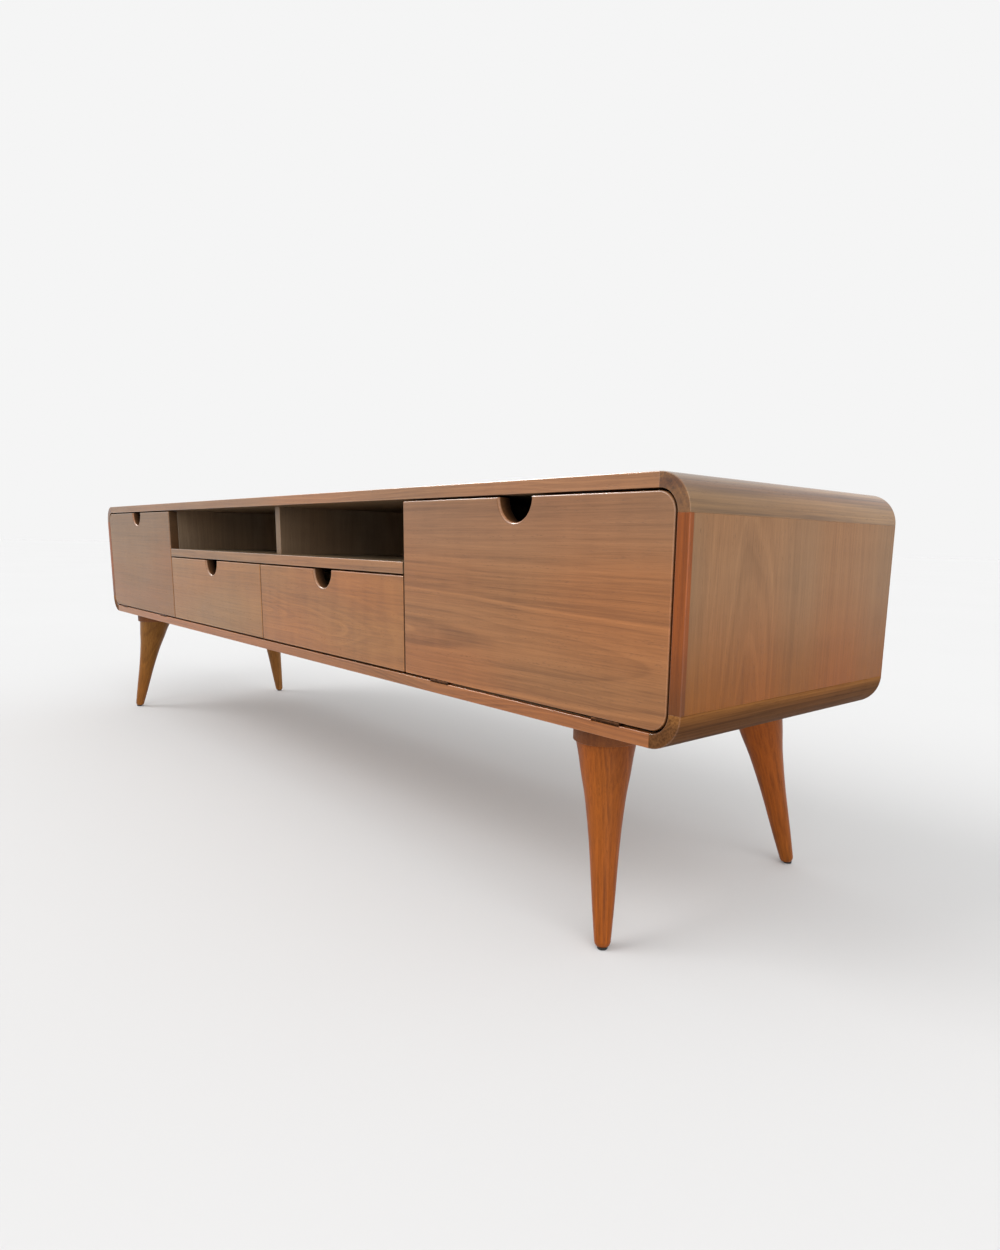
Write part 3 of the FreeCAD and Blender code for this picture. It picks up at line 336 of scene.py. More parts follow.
    smear = t.noise(t.stretch(uvw, 6.0, 14.0, 14.0, (s, 6.6, s)), 1.0, 3.0, 0.6)
    rough = t.math("MULTIPLY_ADD", t.sub(smear, 0.5), 0.12, gloss)
    rough = t.math("MULTIPLY_ADD", t.sub(fibre, 0.5), 0.10, rough)
    rough = t.math("MULTIPLY_ADD", pore, 0.25, rough)
    rough = t.math("MULTIPLY_ADD", end, 0.10, rough, True)
    height = t.math("MULTIPLY_ADD", pore, -1.0, t.mul(fibre, 0.22))
    height = t.math("MULTIPLY_ADD", pore2, -0.30, height)
    height = t.math("MULTIPLY_ADD", late, 0.18, height)
    bump = t.bump(height, 0.42, 0.00022)
    waves = t.bump(smear, 0.10, 0.0006, bump)
    film = t.math("MULTIPLY_ADD", t.attribute("edge"), rim, coat, True)
    return t.surface(Base_Color=colour, Roughness=rough, Normal=waves, IOR=1.5, Specular_IOR_Level=spec, Coat_Weight=film,
                     Coat_Roughness=0.22, Coat_IOR=1.48, Coat_Normal=t.bump(smear, 0.08, 0.0006))


# ------------------------------------------------------------------ other materials
def plywood(name, across_axis, along, face_hex, edge_hex, seed=0.0, ply=0.0011, gain=1.0, gloss=0.5, near=None):
    """Plywood or thin board: fine straight grain on the faces, plies in turn on the cut edges.
    near is painted light: a tint that makes the face looking against across_axis paler, lifting it out of its shade."""
    n_ax, g = Vector(across_axis).normalized(), Vector(along).normalized()
    a = n_ax.cross(g)
    t = Tree(name)
    p = t.coords()
    uvw = (t.dot(p, g), t.dot(p, a), t.dot(p, n_ax))
    s = seed * 2.3
    broad = t.noise(t.stretch(uvw, 2.0, 24.0, 3.0, (s, s, 1.0)), 1.0, 3.0, 0.55)
    fine = t.noise(t.stretch(uvw, 14.0, 700.0, 60.0, (s, 1.0, s)), 1.0, 3.0, 0.6)
    fleck = t.cells(t.stretch(uvw, 180.0, 1500.0, 400.0, (s, 0.0, s)))
    fleck = t.remap(fleck, 0.08, 0.28, 1.0, 0.0)
    base = scaled(rgb(face_hex), gain)
    tone = t.math("MULTIPLY_ADD", t.sub(fine, 0.5), 0.6, broad)
    face = t.ramp(tone, [(0.2, scaled(base, (0.72, 0.68, 0.62))), (0.5, base), (0.85, scaled(base, (1.16, 1.16, 1.14)))])
    face = t.mix(t.mul(fleck, 0.35), face, scaled(base, 0.5))
    layer = t.math("PINGPONG", uvw[2], ply)
    layer = t.remap(layer, ply * 0.42, ply * 0.58, 0.0, 1.0)
    grit = t.noise(t.stretch(uvw, 900.0, 900.0, 500.0, (s, 0.0, 0.0)), 1.0, 2.0, 0.6)
    pale, deep = scaled(rgb(edge_hex), gain), scaled(rgb(edge_hex), (0.55 * gain, 0.50 * gain, 0.44 * gain))
    edge = t.mix(layer, pale, deep)
    edge = t.mix(t.mul(grit, 0.5), edge, scaled(rgb(edge_hex), 0.5 * gain))
    normal = t.node("ShaderNodeNewGeometry").outputs["Normal"]
    flat = t.remap(t.math("ABSOLUTE", t.dot(normal, n_ax)), 0.45, 0.75)
    colour = t.mix(flat, edge, face)
    # painted light: the face looking against across_axis is tinted paler, lifting it out of its shade
    if near:
        painted_lift_mask = t.remap(t.dot(normal, n_ax), -0.5, -0.2, 1.0, 0.0)
        colour = t.mix(painted_lift_mask, colour, t.mix(1.0, colour, tuple(near) + (1.0,), "MULTIPLY"))
    rough = t.math("MULTIPLY_ADD", t.sub(fine, 0.5), 0.16, gloss)
    height = t.add(t.mul(fine, 0.4), t.mul(t.sub(1.0, flat), t.mul(layer, 0.8)))
    height = t.math("MULTIPLY_ADD", fleck, -0.6, height)
    return t.surface(Base_Color=colour, Roughness=rough, Normal=t.bump(height, 0.5, 0.0002), Coat_Weight=0.06)


def beech(name, along, seed=0.0):
    g = Vector(along).normalized()
    a = Vector((0, 1, 0)) if abs(g.z) > 0.5 else Vector((0, 0, 1))
    b = g.cross(a)
    t = Tree(name)
    p = t.coords()
    uvw = (t.dot(p, g), t.dot(p, a), t.dot(p, b))
    broad = t.noise(t.stretch(uvw, 3.0, 45.0, 45.0, (seed, seed, 1.0)), 1.0, 3.0, 0.55)
    fine = t.noise(t.stretch(uvw, 18.0, 900.0, 900.0, (seed, 1.0, 2.0)), 1.0, 3.0, 0.6)
    fleck = t.remap(t.cells(t.stretch(uvw, 260.0, 1300.0, 1300.0)), 0.10, 0.30, 1.0, 0.0)
    base = rgb("BE9065")
    colour = t.ramp(t.math("MULTIPLY_ADD", t.sub(fine, 0.5), 0.5, broad),
                    [(0.2, scaled(base, (0.75, 0.70, 0.64))), (0.5, base), (0.85, scaled(base, 1.15))])
    colour = t.mix(t.mul(fleck, 0.55), colour, rgb("7A4E30"))
    return t.surface(Base_Color=colour, Roughness=t.math("MULTIPLY_ADD", fine, 0.2, 0.42),
                     Normal=t.bump(t.sub(fine, fleck), 0.4, 0.00015))


def metal(name, hexa, rough=0.3, brush=(900.0, 60.0, 900.0), tarnish=None, tarnish_amount=0.4):
    t = Tree(name)
    p = t.coords()
    uvw = (t.dot(p, (1, 0, 0)), t.dot(p, (0, 1, 0)), t.dot(p, (0, 0, 1)))
    lines = t.noise(t.stretch(uvw, *brush), 1.0, 2.0, 0.6)
    stain = t.noise(t.stretch(uvw, 90.0, 90.0, 90.0), 1.0, 4.0, 0.6)
    spot = t.remap(t.noise(t.stretch(uvw, 420.0, 420.0, 420.0), 1.0, 2.0), 0.55, 0.72)
    base = rgb(hexa)
    colour = t.mix(t.remap(stain, 0.35, 0.7, 0.0, tarnish_amount), base, rgb(tarnish) if tarnish else scaled(base, 0.6))
    colour = t.mix(t.mul(spot, 0.35), colour, scaled(base, 0.45))
    r = t.math("MULTIPLY_ADD", t.sub(lines, 0.5), 0.22, rough)
    r = t.math("MULTIPLY_ADD", stain, 0.16, r, True)
    return t.surface(Base_Color=colour, Metallic=1.0, Roughness=r, Normal=t.bump(lines, 0.25, 0.00005))


def plastic(name, hexa, rough=0.42):
    t = Tree(name)
    p = t.coords()
    grain = t.cells(p, 2600.0)
    cloud = t.noise(p, 160.0, 3.0)
    base = rgb(hexa)
    colour = t.mix(t.remap(cloud, 0.3, 0.7), scaled(base, 0.8), scaled(base, 1.4))
    return t.surface(Base_Color=colour, Roughness=t.math("MULTIPLY_ADD", cloud, 0.18, rough - 0.08),
                     Normal=t.bump(grain, 0.35, 0.00008))


# ------------------------------------------------------------------ mesh helpers
def fillet_poly(points, radii, per_quarter=6):
    """Closed polygon (counter-clockwise) with each corner rounded by its radius."""
    out = []
    n = len(points)
    for i in range(n):
        p = Vector(points[i])
        r = radii[i] if isinstance(radii, (list, tuple)) else radii
        if r <= 0:
            out.append(tuple(p))
            continue
        d0 = (Vector(points[i - 1]) - p).normalized()
        d1 = (Vector(points[(i + 1) % n]) - p).normalized()
        angle = d0.angle(d1)
        back = r / math.tan(angle / 2)
        centre = p + (d0 + d1).normalized() * (r / math.sin(angle / 2))
        s, e = p + d0 * back, p + d1 * back
        a0 = math.atan2(s.y - centre.y, s.x - centre.x)
        a1 = math.atan2(e.y - centre.y, e.x - centre.x)
        while a1 - a0 > math.pi:
            a1 -= 2 * math.pi
        while a1 - a0 < -math.pi:
            a1 += 2 * math.pi
        k = max(1, round(per_quarter * abs(a1 - a0) / (math.pi / 2)))
        for j in range(k + 1):
            b = a0 + (a1 - a0) * j / k
            out.append((centre.x + r * math.cos(b), centre.y + r * math.sin(b)))
    return out


def inset_poly(points, e):
    """The counter-clockwise polygon moved inwards by e, with mitred corners."""
    out = []
    n = len(points)
    for i in range(n):
        p0, p, p1 = Vector(points[i - 1]), Vector(points[i]), Vector(points[(i + 1) % n])
        d0, d1 = (p - p0).normalized(), (p1 - p).normalized()
        n0, n1 = Vector((-d0.y, d0.x)), Vector((-d1.y, d1.x))
        mid = n0 + n1
        k = 2 * e / mid.length_squared if mid.length_squared > 1e-9 else 0.0
        out.append(tuple(p + mid * k))
    return out


AXES = {"x": lambda p, q, a: (a, p, q), "y": lambda p, q, a: (p, a, q), "z": lambda p, q, a: (p, q, a)}


def extruded(points, axis, a0, a1, ends=(0.0, 0.0), steps=(1, 1)):
    """bmesh of a polygon drawn out along an axis, its two end rims rounded by the radii in ends."""
    bm = bmesh.new()
    levels = []
    r, k = ends[0], steps[0]
    if r:
        for j in range(k):
            b = math.pi / 2 * j / k          # 0 at the end face, pi/2 at full section
            levels.append((a0 + r * (1 - math.cos(b)), r * (1 - math.sin(b))))
        levels.append((a0 + r, 0.0))
    else:
        levels = [(a0, 0.0)]
    r, k = ends[1], steps[1]
    if r:
        levels.append((a1 - r, 0.0))
        for j in range(k - 1, -1, -1):
            b = math.pi / 2 * j / k
            levels.append((a1 - r * (1 - math.cos(b)), r * (1 - math.sin(b))))
    else:
        levels.append((a1, 0.0))
    rings = []
    for a, e in levels:
        pts = inset_poly(points, e) if e > 0 else points
        rings.append([bm.verts.new(AXES[axis](p[0], p[1], a)) for p in pts])
    n = len(points)
    for lo, hi in zip(rings, rings[1:]):
        for i in range(n):
            bm.faces.new((lo[i], lo[(i + 1) % n], hi[(i + 1) % n], hi[i]))
    bm.faces.new(list(reversed(rings[0])))
    bm.faces.new(rings[-1])
    bmesh.ops.recalc_face_normals(bm, faces=bm.faces)
    return bm


def to_object(name, bm):
    me = bpy.data.meshes.new(name)
    bm.normal_update()
    bm.to_mesh(me)
    bm.free()
    ob = bpy.data.objects.new(name, me)
    scene.collection.objects.link(ob)
    return ob


def baked(ob):
    """The object's mesh with its modifiers worked in."""
    bpy.context.view_layer.update()
    dg = bpy.context.evaluated_depsgraph_get()
    me = bpy.data.meshes.new_from_object(ob.evaluated_get(dg))
    old = ob.data
    ob.modifiers.clear()
    ob.data = me
    me.name = old.name
    bpy.data.meshes.remove(old)


_cutters = {}


def cutter(name):
    """A welded copy of a CAD node, to cut the recess that it sits in."""
    if name not in _cutters:
        bm = bmesh.new()
        bm.from_mesh(nodes[name].data)
        bmesh.ops.remove_doubles(bm, verts=bm.verts, dist=2e-6)
        bmesh.ops.recalc_face_normals(bm, faces=bm.faces)
        _cutters[name] = to_object("cutter_" + name, bm)
    return _cutters[name]


def box_cutter(lo, hi):
    bm = bmesh.new()
    bmesh.ops.create_cube(bm, size=1.0)
    for v in bm.verts:
        v.co = Vector(((lo[i] + hi[i]) / 2 + v.co[i] * (hi[i] - lo[i])) for i in range(3))
    bmesh.ops.recalc_face_normals(bm, faces=bm.faces)
    return to_object("cutter_box", bm)


def cut(ob, *tools):
    for tool in tools:
        m = ob.modifiers.new("cut", "BOOLEAN")
        m.operation, m.solver, m.object = "DIFFERENCE", "EXACT", tool
    baked(ob)
    for tool in tools:
        if tool.name.startswith("cutter_box"):
            bpy.data.objects.remove(tool)


def mark_edges(ob, test=None):
    """The share of each face that is a rounded edge, for the wear in the material."""
    me = ob.data
    layer = me.attributes.get("edge") or me.attributes.new("edge", "FLOAT", "FACE")
    values = []
    for p in me.polygons:
        n = p.normal
        if test:
            values.append(1.0 if test(p, n) else 0.0)
        else:
            values.append(1.0 if max(abs(n.x), abs(n.y), abs(n.z)) < 0.985 else 0.0)
    layer.data.foreach_set("value", values)


def middle(name, *offset):
    """Middle of a CAD node's box, moved by a share of its half size along each axis."""
    lo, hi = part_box(name)
    return tuple((lo[i] + hi[i]) / 2 + (hi[i] - lo[i]) / 2 * offset[i] for i in range(3))


def dress(ob, body, mat, replaced, smooth=32.0, weighted=True, test=None, mark=True, other=None):
    me = ob.data
    me.materials.clear()
    me.materials.append(mat)
    for p in me.polygons:
        p.material_index = 0
    for i, (extra, where) in enumerate(other or ()):
        me.materials.append(extra)
        for p in me.polygons:
            if where(p.center, p.normal):
                p.material_index = i + 1
    if mark:
        mark_edges(ob, test)
    me.shade_smooth()
    me.set_sharp_from_angle(angle=math.radians(smooth))
    if weighted:
        m = ob.modifiers.new("weighted_normal", "WEIGHTED_NORMAL")
        m.keep_sharp, m.mode, m.weight = True, "FACE_AREA", 60
    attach(ob, body)
    if replaced:
        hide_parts(*replaced)
    return ob


# ------------------------------------------------------------------ sizes read from the frame
def bx(name):
    lo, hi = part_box(name)
    return lo, hi


top_lo, top_hi = bx("top_panel")
bot_lo, bot_hi = bx("bottom_panel")
side_lo, side_hi = bx("right_side_panel")
lip_lo, lip_hi = bx("top_front_lipping")
blk_lo, blk_hi = bx("top_right_corner_block")
back_lo, back_hi = bx("back_panel")
FRONT, BACK = lip_lo.y, top_hi.y
BOARD = top_hi.z - top_lo.z
R_OUT = blk_hi.x - blk_lo.x
R_IN = R_OUT - BOARD
REBATE_Y = back_lo.y                      # the back panel's inner face
REBATE = 0.007
SEAM = 0.00035
EASE = 0.0009

HIDDEN = [cutter(n) for n in ("carcass_dowels", "corner_splines", "back_panel_screws", "fitting_screws", "leg_block_screws")]
DOWELS, SPLINES, BACK_SCREWS, FIT_SCREWS, LEG_SCREWS = HIDDEN


# ------------------------------------------------------------------ carcass: panels
def panel_section(y0, y1, z_in, z_out, radius=0.0006):
    """Section of a long panel in (y, z) with the rebate for the back board at its inner rear edge."""
    up = z_out > z_in
    d = 1 if up else -1
    pts = [(y0, z_in), (REBATE_Y, z_in), (REBATE_Y, z_in + d * REBATE), (y1, z_in + d * REBATE), (y1, z_out), (y0, z_out)]
    rad = [0, radius, 0, radius, radius * 1.6, 0]
    if not up:
        pts.reverse()
        rad.reverse()
    return fillet_poly(pts, rad, 3)


mats = {}
mats["top"] = walnut("walnut_top", (1, 0, 0), (0, 0, 1), middle("top_panel", 0, 0, 1), "top", pith=(0.03, -0.045), tilt=(0.01, 0.05), seed=1.0, period=0.0075)
mats["bottom"] = walnut("walnut_bottom", (1, 0, 0), (0, 0, -1), middle("bottom_panel", 0, 0, -1), "side", pith=(-0.04, -0.06), tilt=(0.01, 0.04), seed=2.0, period=0.008, coat=0.05, gloss=0.45)

mats["ceiling"] = walnut("walnut_ceiling", (1, 0, 0), (0, 0, -1), middle("top_panel", 0, 0, -1), "inner", pith=(0.02, -0.10), seed=1.4, figure=0.6, gloss=0.5, coat=0.0, spec=0.10, gain=(0.95, 0.85, 0.80))
mats["ground"] = walnut("walnut_ground", (1, 0, 0), (0, 0, 1), middle("bottom_panel", 0, 0, 1), "inner", pith=(0.02, -0.10), seed=2.4, figure=0.6, gloss=0.5, coat=0.0)
ob = to_object("walnut_top_panel", extruded(panel_section(top_lo.y, BACK, top_lo.z, top_hi.z), "x", top_lo.x, top_hi.x, (SEAM, SEAM)))
cut(ob, DOWELS, SPLINES, BACK_SCREWS, FIT_SCREWS)
dress(ob, "carcass", mats["top"], ["top_panel"], other=[(mats["ceiling"], lambda c, n: n.z < -0.5 or c.z < top_lo.z + REBATE)])

ob = to_object("walnut_bottom_panel", extruded(panel_section(bot_lo.y, BACK, bot_hi.z, bot_lo.z), "x", bot_lo.x, bot_hi.x, (SEAM, SEAM)))
recess = []
leaf_lo, leaf_hi = bx("hinge_carcass_leaves")
leaf_mesh = nodes["hinge_carcass_leaves"].data
xs = sorted(set(round(v.co.x, 4) for v in leaf_mesh.vertices if v.co.z < bot_hi.z - 0.0011))
groups, start = [], None
for x in xs:
    if start is None or x - last > 0.05:
        if start is not None:
            groups.append((start, last))
        start = x
    last = x
groups.append((start, last))
for x0, x1 in groups:
    recess.append(box_cutter((x0, FRONT - 0.01, bot_hi.z - 0.0012), (x1, leaf_hi.y, bot_hi.z + 0.01)))
cut(ob, DOWELS, SPLINES, BACK_SCREWS, FIT_SCREWS, LEG_SCREWS, *recess)
dress(ob, "carcass", mats["bottom"], ["bottom_panel"], other=[(mats["ground"], lambda c, n: n.z > 0.5 or c.z > bot_hi.z - REBATE)])

for side, word in ((-1, "left"), (1, "right")):
    lo, hi = bx(word + "_side_panel")
    x_in, x_out = (lo.x, hi.x) if side > 0 else (hi.x, lo.x)
    pts = [(x_in, lo.y), (x_out, lo.y), (x_out, BACK), (x_in + side * REBATE, BACK), (x_in + side * REBATE, REBATE_Y), (x_in, REBATE_Y)]
    rad = [0, 0, 0.0010, 0.0006, 0, 0.0006]
    if side < 0:
        pts.reverse()
        rad.reverse()
    ob = to_object("walnut_%s_side" % word, extruded(fillet_poly(pts, rad, 3), "z", lo.z, hi.z, (SEAM, SEAM)))
    cut(ob, SPLINES, BACK_SCREWS)
    # painted light: the outer face is painted darker and warmer towards the bottom and paler and bluer towards the top
    mat = walnut("walnut_%s_side" % word, (0, 0, 1), (side, 0, 0), middle(word + "_side_panel", side, 0, 0), "side",
                 pith=(0.100 * side, -0.030), tilt=(0.0, 0.14), seed=3.0 + side, period=0.0080, figure=0.42, wobble=1.1, streak=0.60, patchy=0.8, reach=0.06, spec=0.16, coat=0.05,
                 painted_light=[((0, 0, 1), 0.27, 0.43, (0.86, 0.54, 0.14), (1.0, 1.10, 1.26))])
    inside = walnut("walnut_%s_side_inside" % word, (0, 0, 1), (-side, 0, 0), middle(word + "_side_panel", -side, 0, 0), "inner", seed=3.5 + side, figure=0.6, gloss=0.5, coat=0.0)
    dress(ob, "carcass", mat, [word + "_side_panel"], other=[(inside, lambda c, n: n.x * side < -0.5 or abs(c.x) < abs(x_in) + REBATE)])

# ------------------------------------------------------------------ carcass: lippings
for name, word, palette, seed in (("top_front_lipping", "top", "lip", 5.0), ("bottom_front_lipping", "bottom", "lip2", 6.0)):
    lo, hi = bx(name)
    pts = [(lo.y, lo.z), (hi.y, lo.z), (hi.y, hi.z), (lo.y, hi.z)]
    ob = to_object("walnut_%s_lipping" % word, extruded(fillet_poly(pts, [EASE, 0, 0, EASE], 4), "x", lo.x, hi.x, (SEAM, SEAM)))
    if word == "bottom":
        recess = [box_cutter((x0 - 0.0002, FRONT - 0.01, bot_hi.z - 0.0012), (x1 + 0.0002, BACK, bot_hi.z + 0.01)) for x0, x1 in groups]
        cut(ob, *recess)
    # painted light: the top lipping is painted darker towards its left end, and the bottom lipping paler and bluer
    # towards its left end
    mat = walnut("walnut_%s_lipping" % word, (1, 0, 0), (0, -1, 0), middle(name, 0, -1, 0), palette, pith=(0.10, -0.02), tilt=(0.012, 0.02), seed=seed, period=0.006,
                 figure=0.8, rim=0.75 if word == "top" else 0.25, painted_light=[((1, 0, 0), -0.7, 0.4, (0.80, 0.90, 0.96) if word == "top" else (1.04, 1.10, 1.22), (1.0, 1.0, 1.0))])
    dress(ob, "carcass", mat, [name])
for side, word in ((-1, "left"), (1, "right")):
    name = word + "_front_lipping"
    lo, hi = bx(name)
    pts = [(lo.x, lo.y), (hi.x, lo.y), (hi.x, hi.y), (lo.x, hi.y)]
    ob = to_object("walnut_%s_lipping" % word, extruded(fillet_poly(pts, [EASE, EASE, 0, 0], 4), "z", lo.z, hi.z, (SEAM, SEAM)))
    # painted shade: the side lippings are painted darker towards the bottom
    mat = walnut("walnut_%s_lipping" % word, (0, 0, 1), (0, -1, 0), middle(name, 0, -1, 0), "post", pith=(0.10, -0.02), tilt=(0.012, 0.02), seed=7.0 + side,
                 period=0.006, figure=0.7, patchy=0.4, spec=0.2, coat=0.06, painted_light=[((0, 0, 1), 0.27, 0.38, (0.52, 0.62, 0.8), (1.0, 1.0, 1.0))])
    dress(ob, "carcass", mat, [name])


# ------------------------------------------------------------------ carcass: corner blocks
def corner_block(centre_x, centre_z, a0, steps=36):
    """A quarter ring drawn from front to back. The section is turned through 90 degrees from angle a0."""
    section = fillet_poly([(R_OUT, FRONT), (R_OUT, BACK), (R_IN + REBATE, BACK), (R_IN + REBATE, REBATE_Y), (R_IN, REBATE_Y), (R_IN, FRONT)],
                          [EASE, 0.0010, 0.0006, 0, 0.0006, EASE], 4)
    inner = inset_poly(section, SEAM)
    bm = bmesh.new()
    rings = []
    small = SEAM / R_OUT
    angles = [(0.0, True), (small, False)] + [(math.pi / 2 * j / steps, False) for j in range(1, steps)] + \
             [(math.pi / 2 - small, False), (math.pi / 2, True)]
    for b, is_end in angles:
        ca, sa = math.cos(a0 + b), math.sin(a0 + b)
        rings.append([bm.verts.new((centre_x + r * ca, y, centre_z + r * sa)) for r, y in (inner if is_end else section)])
    n = len(section)
    for lo, hi in zip(rings, rings[1:]):
        for i in range(n):
            bm.faces.new((lo[i], lo[(i + 1) % n], hi[(i + 1) % n], hi[i]))
    bm.faces.new(list(reversed(rings[0])))
    bm.faces.new(rings[-1])
    bmesh.ops.recalc_face_normals(bm, faces=bm.faces)
    return bm


def block_edge(p, n):
    return 0.05 < abs(n.y) < 0.985


for side, word in ((-1, "left"), (1, "right")):
    for up, updown in ((1, "top"), (-1, "bottom")):
        name = "%s_%s_corner_block" % (updown, word)
        lo, hi = bx(name)
        cx = lo.x if side > 0 else hi.x
        cz = lo.z if up > 0 else hi.z
        a0 = {(1, 1): 0, (-1, 1): 90, (-1, -1): 180, (1, -1): 270}[(side, up)]
        ob = to_object("walnut_" + name, corner_block(cx, cz, math.radians(a0)))
        cut(ob, SPLINES)
        # painted light: the bottom blocks take a darker, redder colour than the top blocks as painted shade, with their
        # ends tinted paler and bluer and a painted paler band near their top; the top blocks are painted paler towards
        # the back, with a painted darker band below the top and a painted pale bluish glare along it
        mat = walnut("walnut_" + name, (0, 1, 0), (side * 0.7, 0, up * 0.7), middle(name, side, 0, up), "block" if up > 0 else "block_painted_shade",
                     pith=(0.02, -0.20), tilt=(0.0, 0.01), seed=9.0 + side + 3 * up, period=0.0065, figure=0.9, patchy=0.4, wobble=0.35, streak=2.2,
                     gloss=0.34 if up > 0 else 0.60, coat=0.50 if up > 0 else 0.0, spec=0.25 if up > 0 else 0.05, ends=(0.86, 0.66, 0.42) if up > 0 else (1.15, 1.2, 1.3),
                     painted_light=[((0, 1, 0), -0.20, 0.18, (0.96, 0.96, 0.94), (1.25, 1.28, 1.30)), ((0, 0, 1), 0.490, 0.499, (1, 1, 1), (0.78, 0.66, 0.56)),
                           ((0, 0, 1), 0.501, 0.506, (1, 1, 1), (1.5, 1.8, 2.2))] if up > 0 else [((0, 0, 1), 0.268, 0.283, (1, 1, 1), (1.9, 1.9, 1.6))])
        dress(ob, "carcass", mat, [name], test=block_edge)

# ------------------------------------------------------------------ inner boards
for side, word in ((-1, "left"), (1, "right")):
    name = word + "_partition"
    lo, hi = bx(name)
    pts = [(lo.x, lo.y), (hi.x, lo.y), (hi.x, hi.y), (lo.x, hi.y)]
    ob = to_object("walnut_" + name, extruded(fillet_poly(pts, [0.0006, 0.0006, 0, 0], 3), "z", lo.z, hi.z))
    cut(ob, DOWELS, FIT_SCREWS)
    mat = walnut("walnut_" + name, (0, 0, 1), (side, 0, 0), middle(name, side, 0, 0), "inner", seed=14.0 + side, figure=0.4, streak=0.4, gain=(1.18, 1.12, 1.12), gloss=0.48, coat=0.02)
    dress(ob, "carcass", mat, [name])

lo, hi = bx("middle_shelf")
_, part_hi = bx("left_partition")
wide = -part_hi.x
relief_y = bx("right_partition")[0].y
# the shelf stands between the partitions, and its front strip stops short of the flaps
front_x = max(abs(v.co.x) for v in nodes["middle_shelf"].data.vertices if v.co.y < relief_y - 0.002)
pts = [(lo.y, lo.z), (hi.y, lo.z), (hi.y, hi.z), (lo.y, hi.z)]
ob = to_object("walnut_middle_shelf", extruded(fillet_poly(pts, [EASE, 0, 0, EASE], 4), "x", lo.x, hi.x))
cut(ob, box_cutter((front_x, FRONT - 0.01, lo.z - 0.01), (hi.x + 0.01, relief_y, hi.z + 0.01)),
    box_cutter((lo.x - 0.01, FRONT - 0.01, lo.z - 0.01), (-front_x, relief_y, hi.z + 0.01)), DOWELS, FIT_SCREWS)
mat = walnut("walnut_shelf", (1, 0, 0), (0, 0, 1), middle("middle_shelf", 0, 0, 1), "inner", pith=(0.0, -0.05), tilt=(0.015, 0.05), seed=16.0, gloss=0.45, coat=0.04)
# painted shade: the strip is painted darker and greyer towards its left end
strip = walnut("walnut_shelf_strip", (1, 0, 0), (0, -1, 0), middle("middle_shelf", 0, -1, 0), "lip", pith=(0.08, -0.02), tilt=(0.015, 0.03), seed=16.5, period=0.0065, figure=0.8,
               painted_light=[((1, 0, 0), -0.45, 0.45, (0.76, 0.88, 0.88), (0.96, 0.98, 0.90))])
dress(ob, "carcass", mat, ["middle_shelf"], other=[(strip, lambda c, n: c.y < FRONT + 0.0012 and n.y < -0.02)])

lo, hi = bx("bay_divider")
pts = [(lo.x, lo.y), (hi.x, lo.y), (hi.x, hi.y), (lo.x, hi.y)]
ob = to_object("walnut_bay_divider", extruded(fillet_poly(pts, [EASE, EASE, 0, 0], 4), "z", lo.z, hi.z))
cut(ob, DOWELS)
mat = walnut("walnut_divider", (0, 0, 1), (1, 0, 0), middle("bay_divider", 1, 0, 0), "inner", seed=17.0, figure=0.3, streak=0.4, gain=(1.18, 1.12, 1.12), gloss=0.45, coat=0.02)
strip = walnut("walnut_divider_strip", (0, 0, 1), (0, -1, 0), middle("bay_divider", 0, -1, 0), "lip", seed=17.5, figure=0.5, gain=(0.72, 0.94, 1.08))
div_y = lo.y
dress(ob, "carcass", mat, ["bay_divider"], other=[(strip, lambda c, n: c.y < div_y + 0.0012 and n.y < -0.02)])

lo, hi = bx("drawer_partition")
pts = [(lo.x, lo.y), (hi.x, lo.y), (hi.x, hi.y), (lo.x, hi.y)]
ob = to_object("walnut_drawer_partition", extruded(fillet_poly(pts, [0.0006, 0.0006, 0, 0], 3), "z", lo.z, hi.z))
cut(ob, DOWELS, FIT_SCREWS)
mat = walnut("walnut_drawer_partition", (0, 1, 0), (1, 0, 0), middle("drawer_partition", 1, 0, 0), "inner", seed=18.0, gloss=0.48, coat=0.04)
dress(ob, "carcass", mat, ["drawer_partition"])


# ------------------------------------------------------------------ fronts
NOTCH, N_EASE, N_BACK, F_EASE, CORNER = 0.0285, 0.0035, 0.0020, 0.0020, 0.0205


def notch_cutter(x, z, y0, y1, seg=144):
    """A turned cutter about the front-to-back line through (x, z)."""
    prof = [(y0 - 0.004, NOTCH + N_EASE)]
    for j in range(0, 9):
        b = math.pi / 2 * j / 8          # convex round-over on the wood: centre at (y0 + e, R + e)
        prof.append((y0 + N_EASE * (1 - math.cos(b)), NOTCH + N_EASE * (1 - math.sin(b))))
    for j in range(5, -1, -1):
        b = math.pi / 2 * j / 5
        prof.append((y1 - N_BACK * (1 - math.cos(b)), NOTCH + N_BACK * (1 - math.sin(b))))
    prof.append((y1 + 0.004, NOTCH + N_BACK))
    bm = bmesh.new()
    rings = []
    for y, r in prof:
        rings.append([bm.verts.new((x + r * math.cos(2 * math.pi * (i + 0.5) / seg), y, z + r * math.sin(2 * math.pi * (i + 0.5) / seg))) for i in range(seg)])
    for lo, hi in zip(rings, rings[1:]):
        for i in range(seg):
            bm.faces.new((lo[i], lo[(i + 1) % seg], hi[(i + 1) % seg], hi[i]))
    bm.faces.new(list(reversed(rings[0])))
    bm.faces.new(rings[-1])
    bmesh.ops.recalc_face_normals(bm, faces=bm.faces)
    return to_object("cutter_box_notch", bm)


def front_edge(p, n):
    return 0.03 < abs(n.y) < 0.985
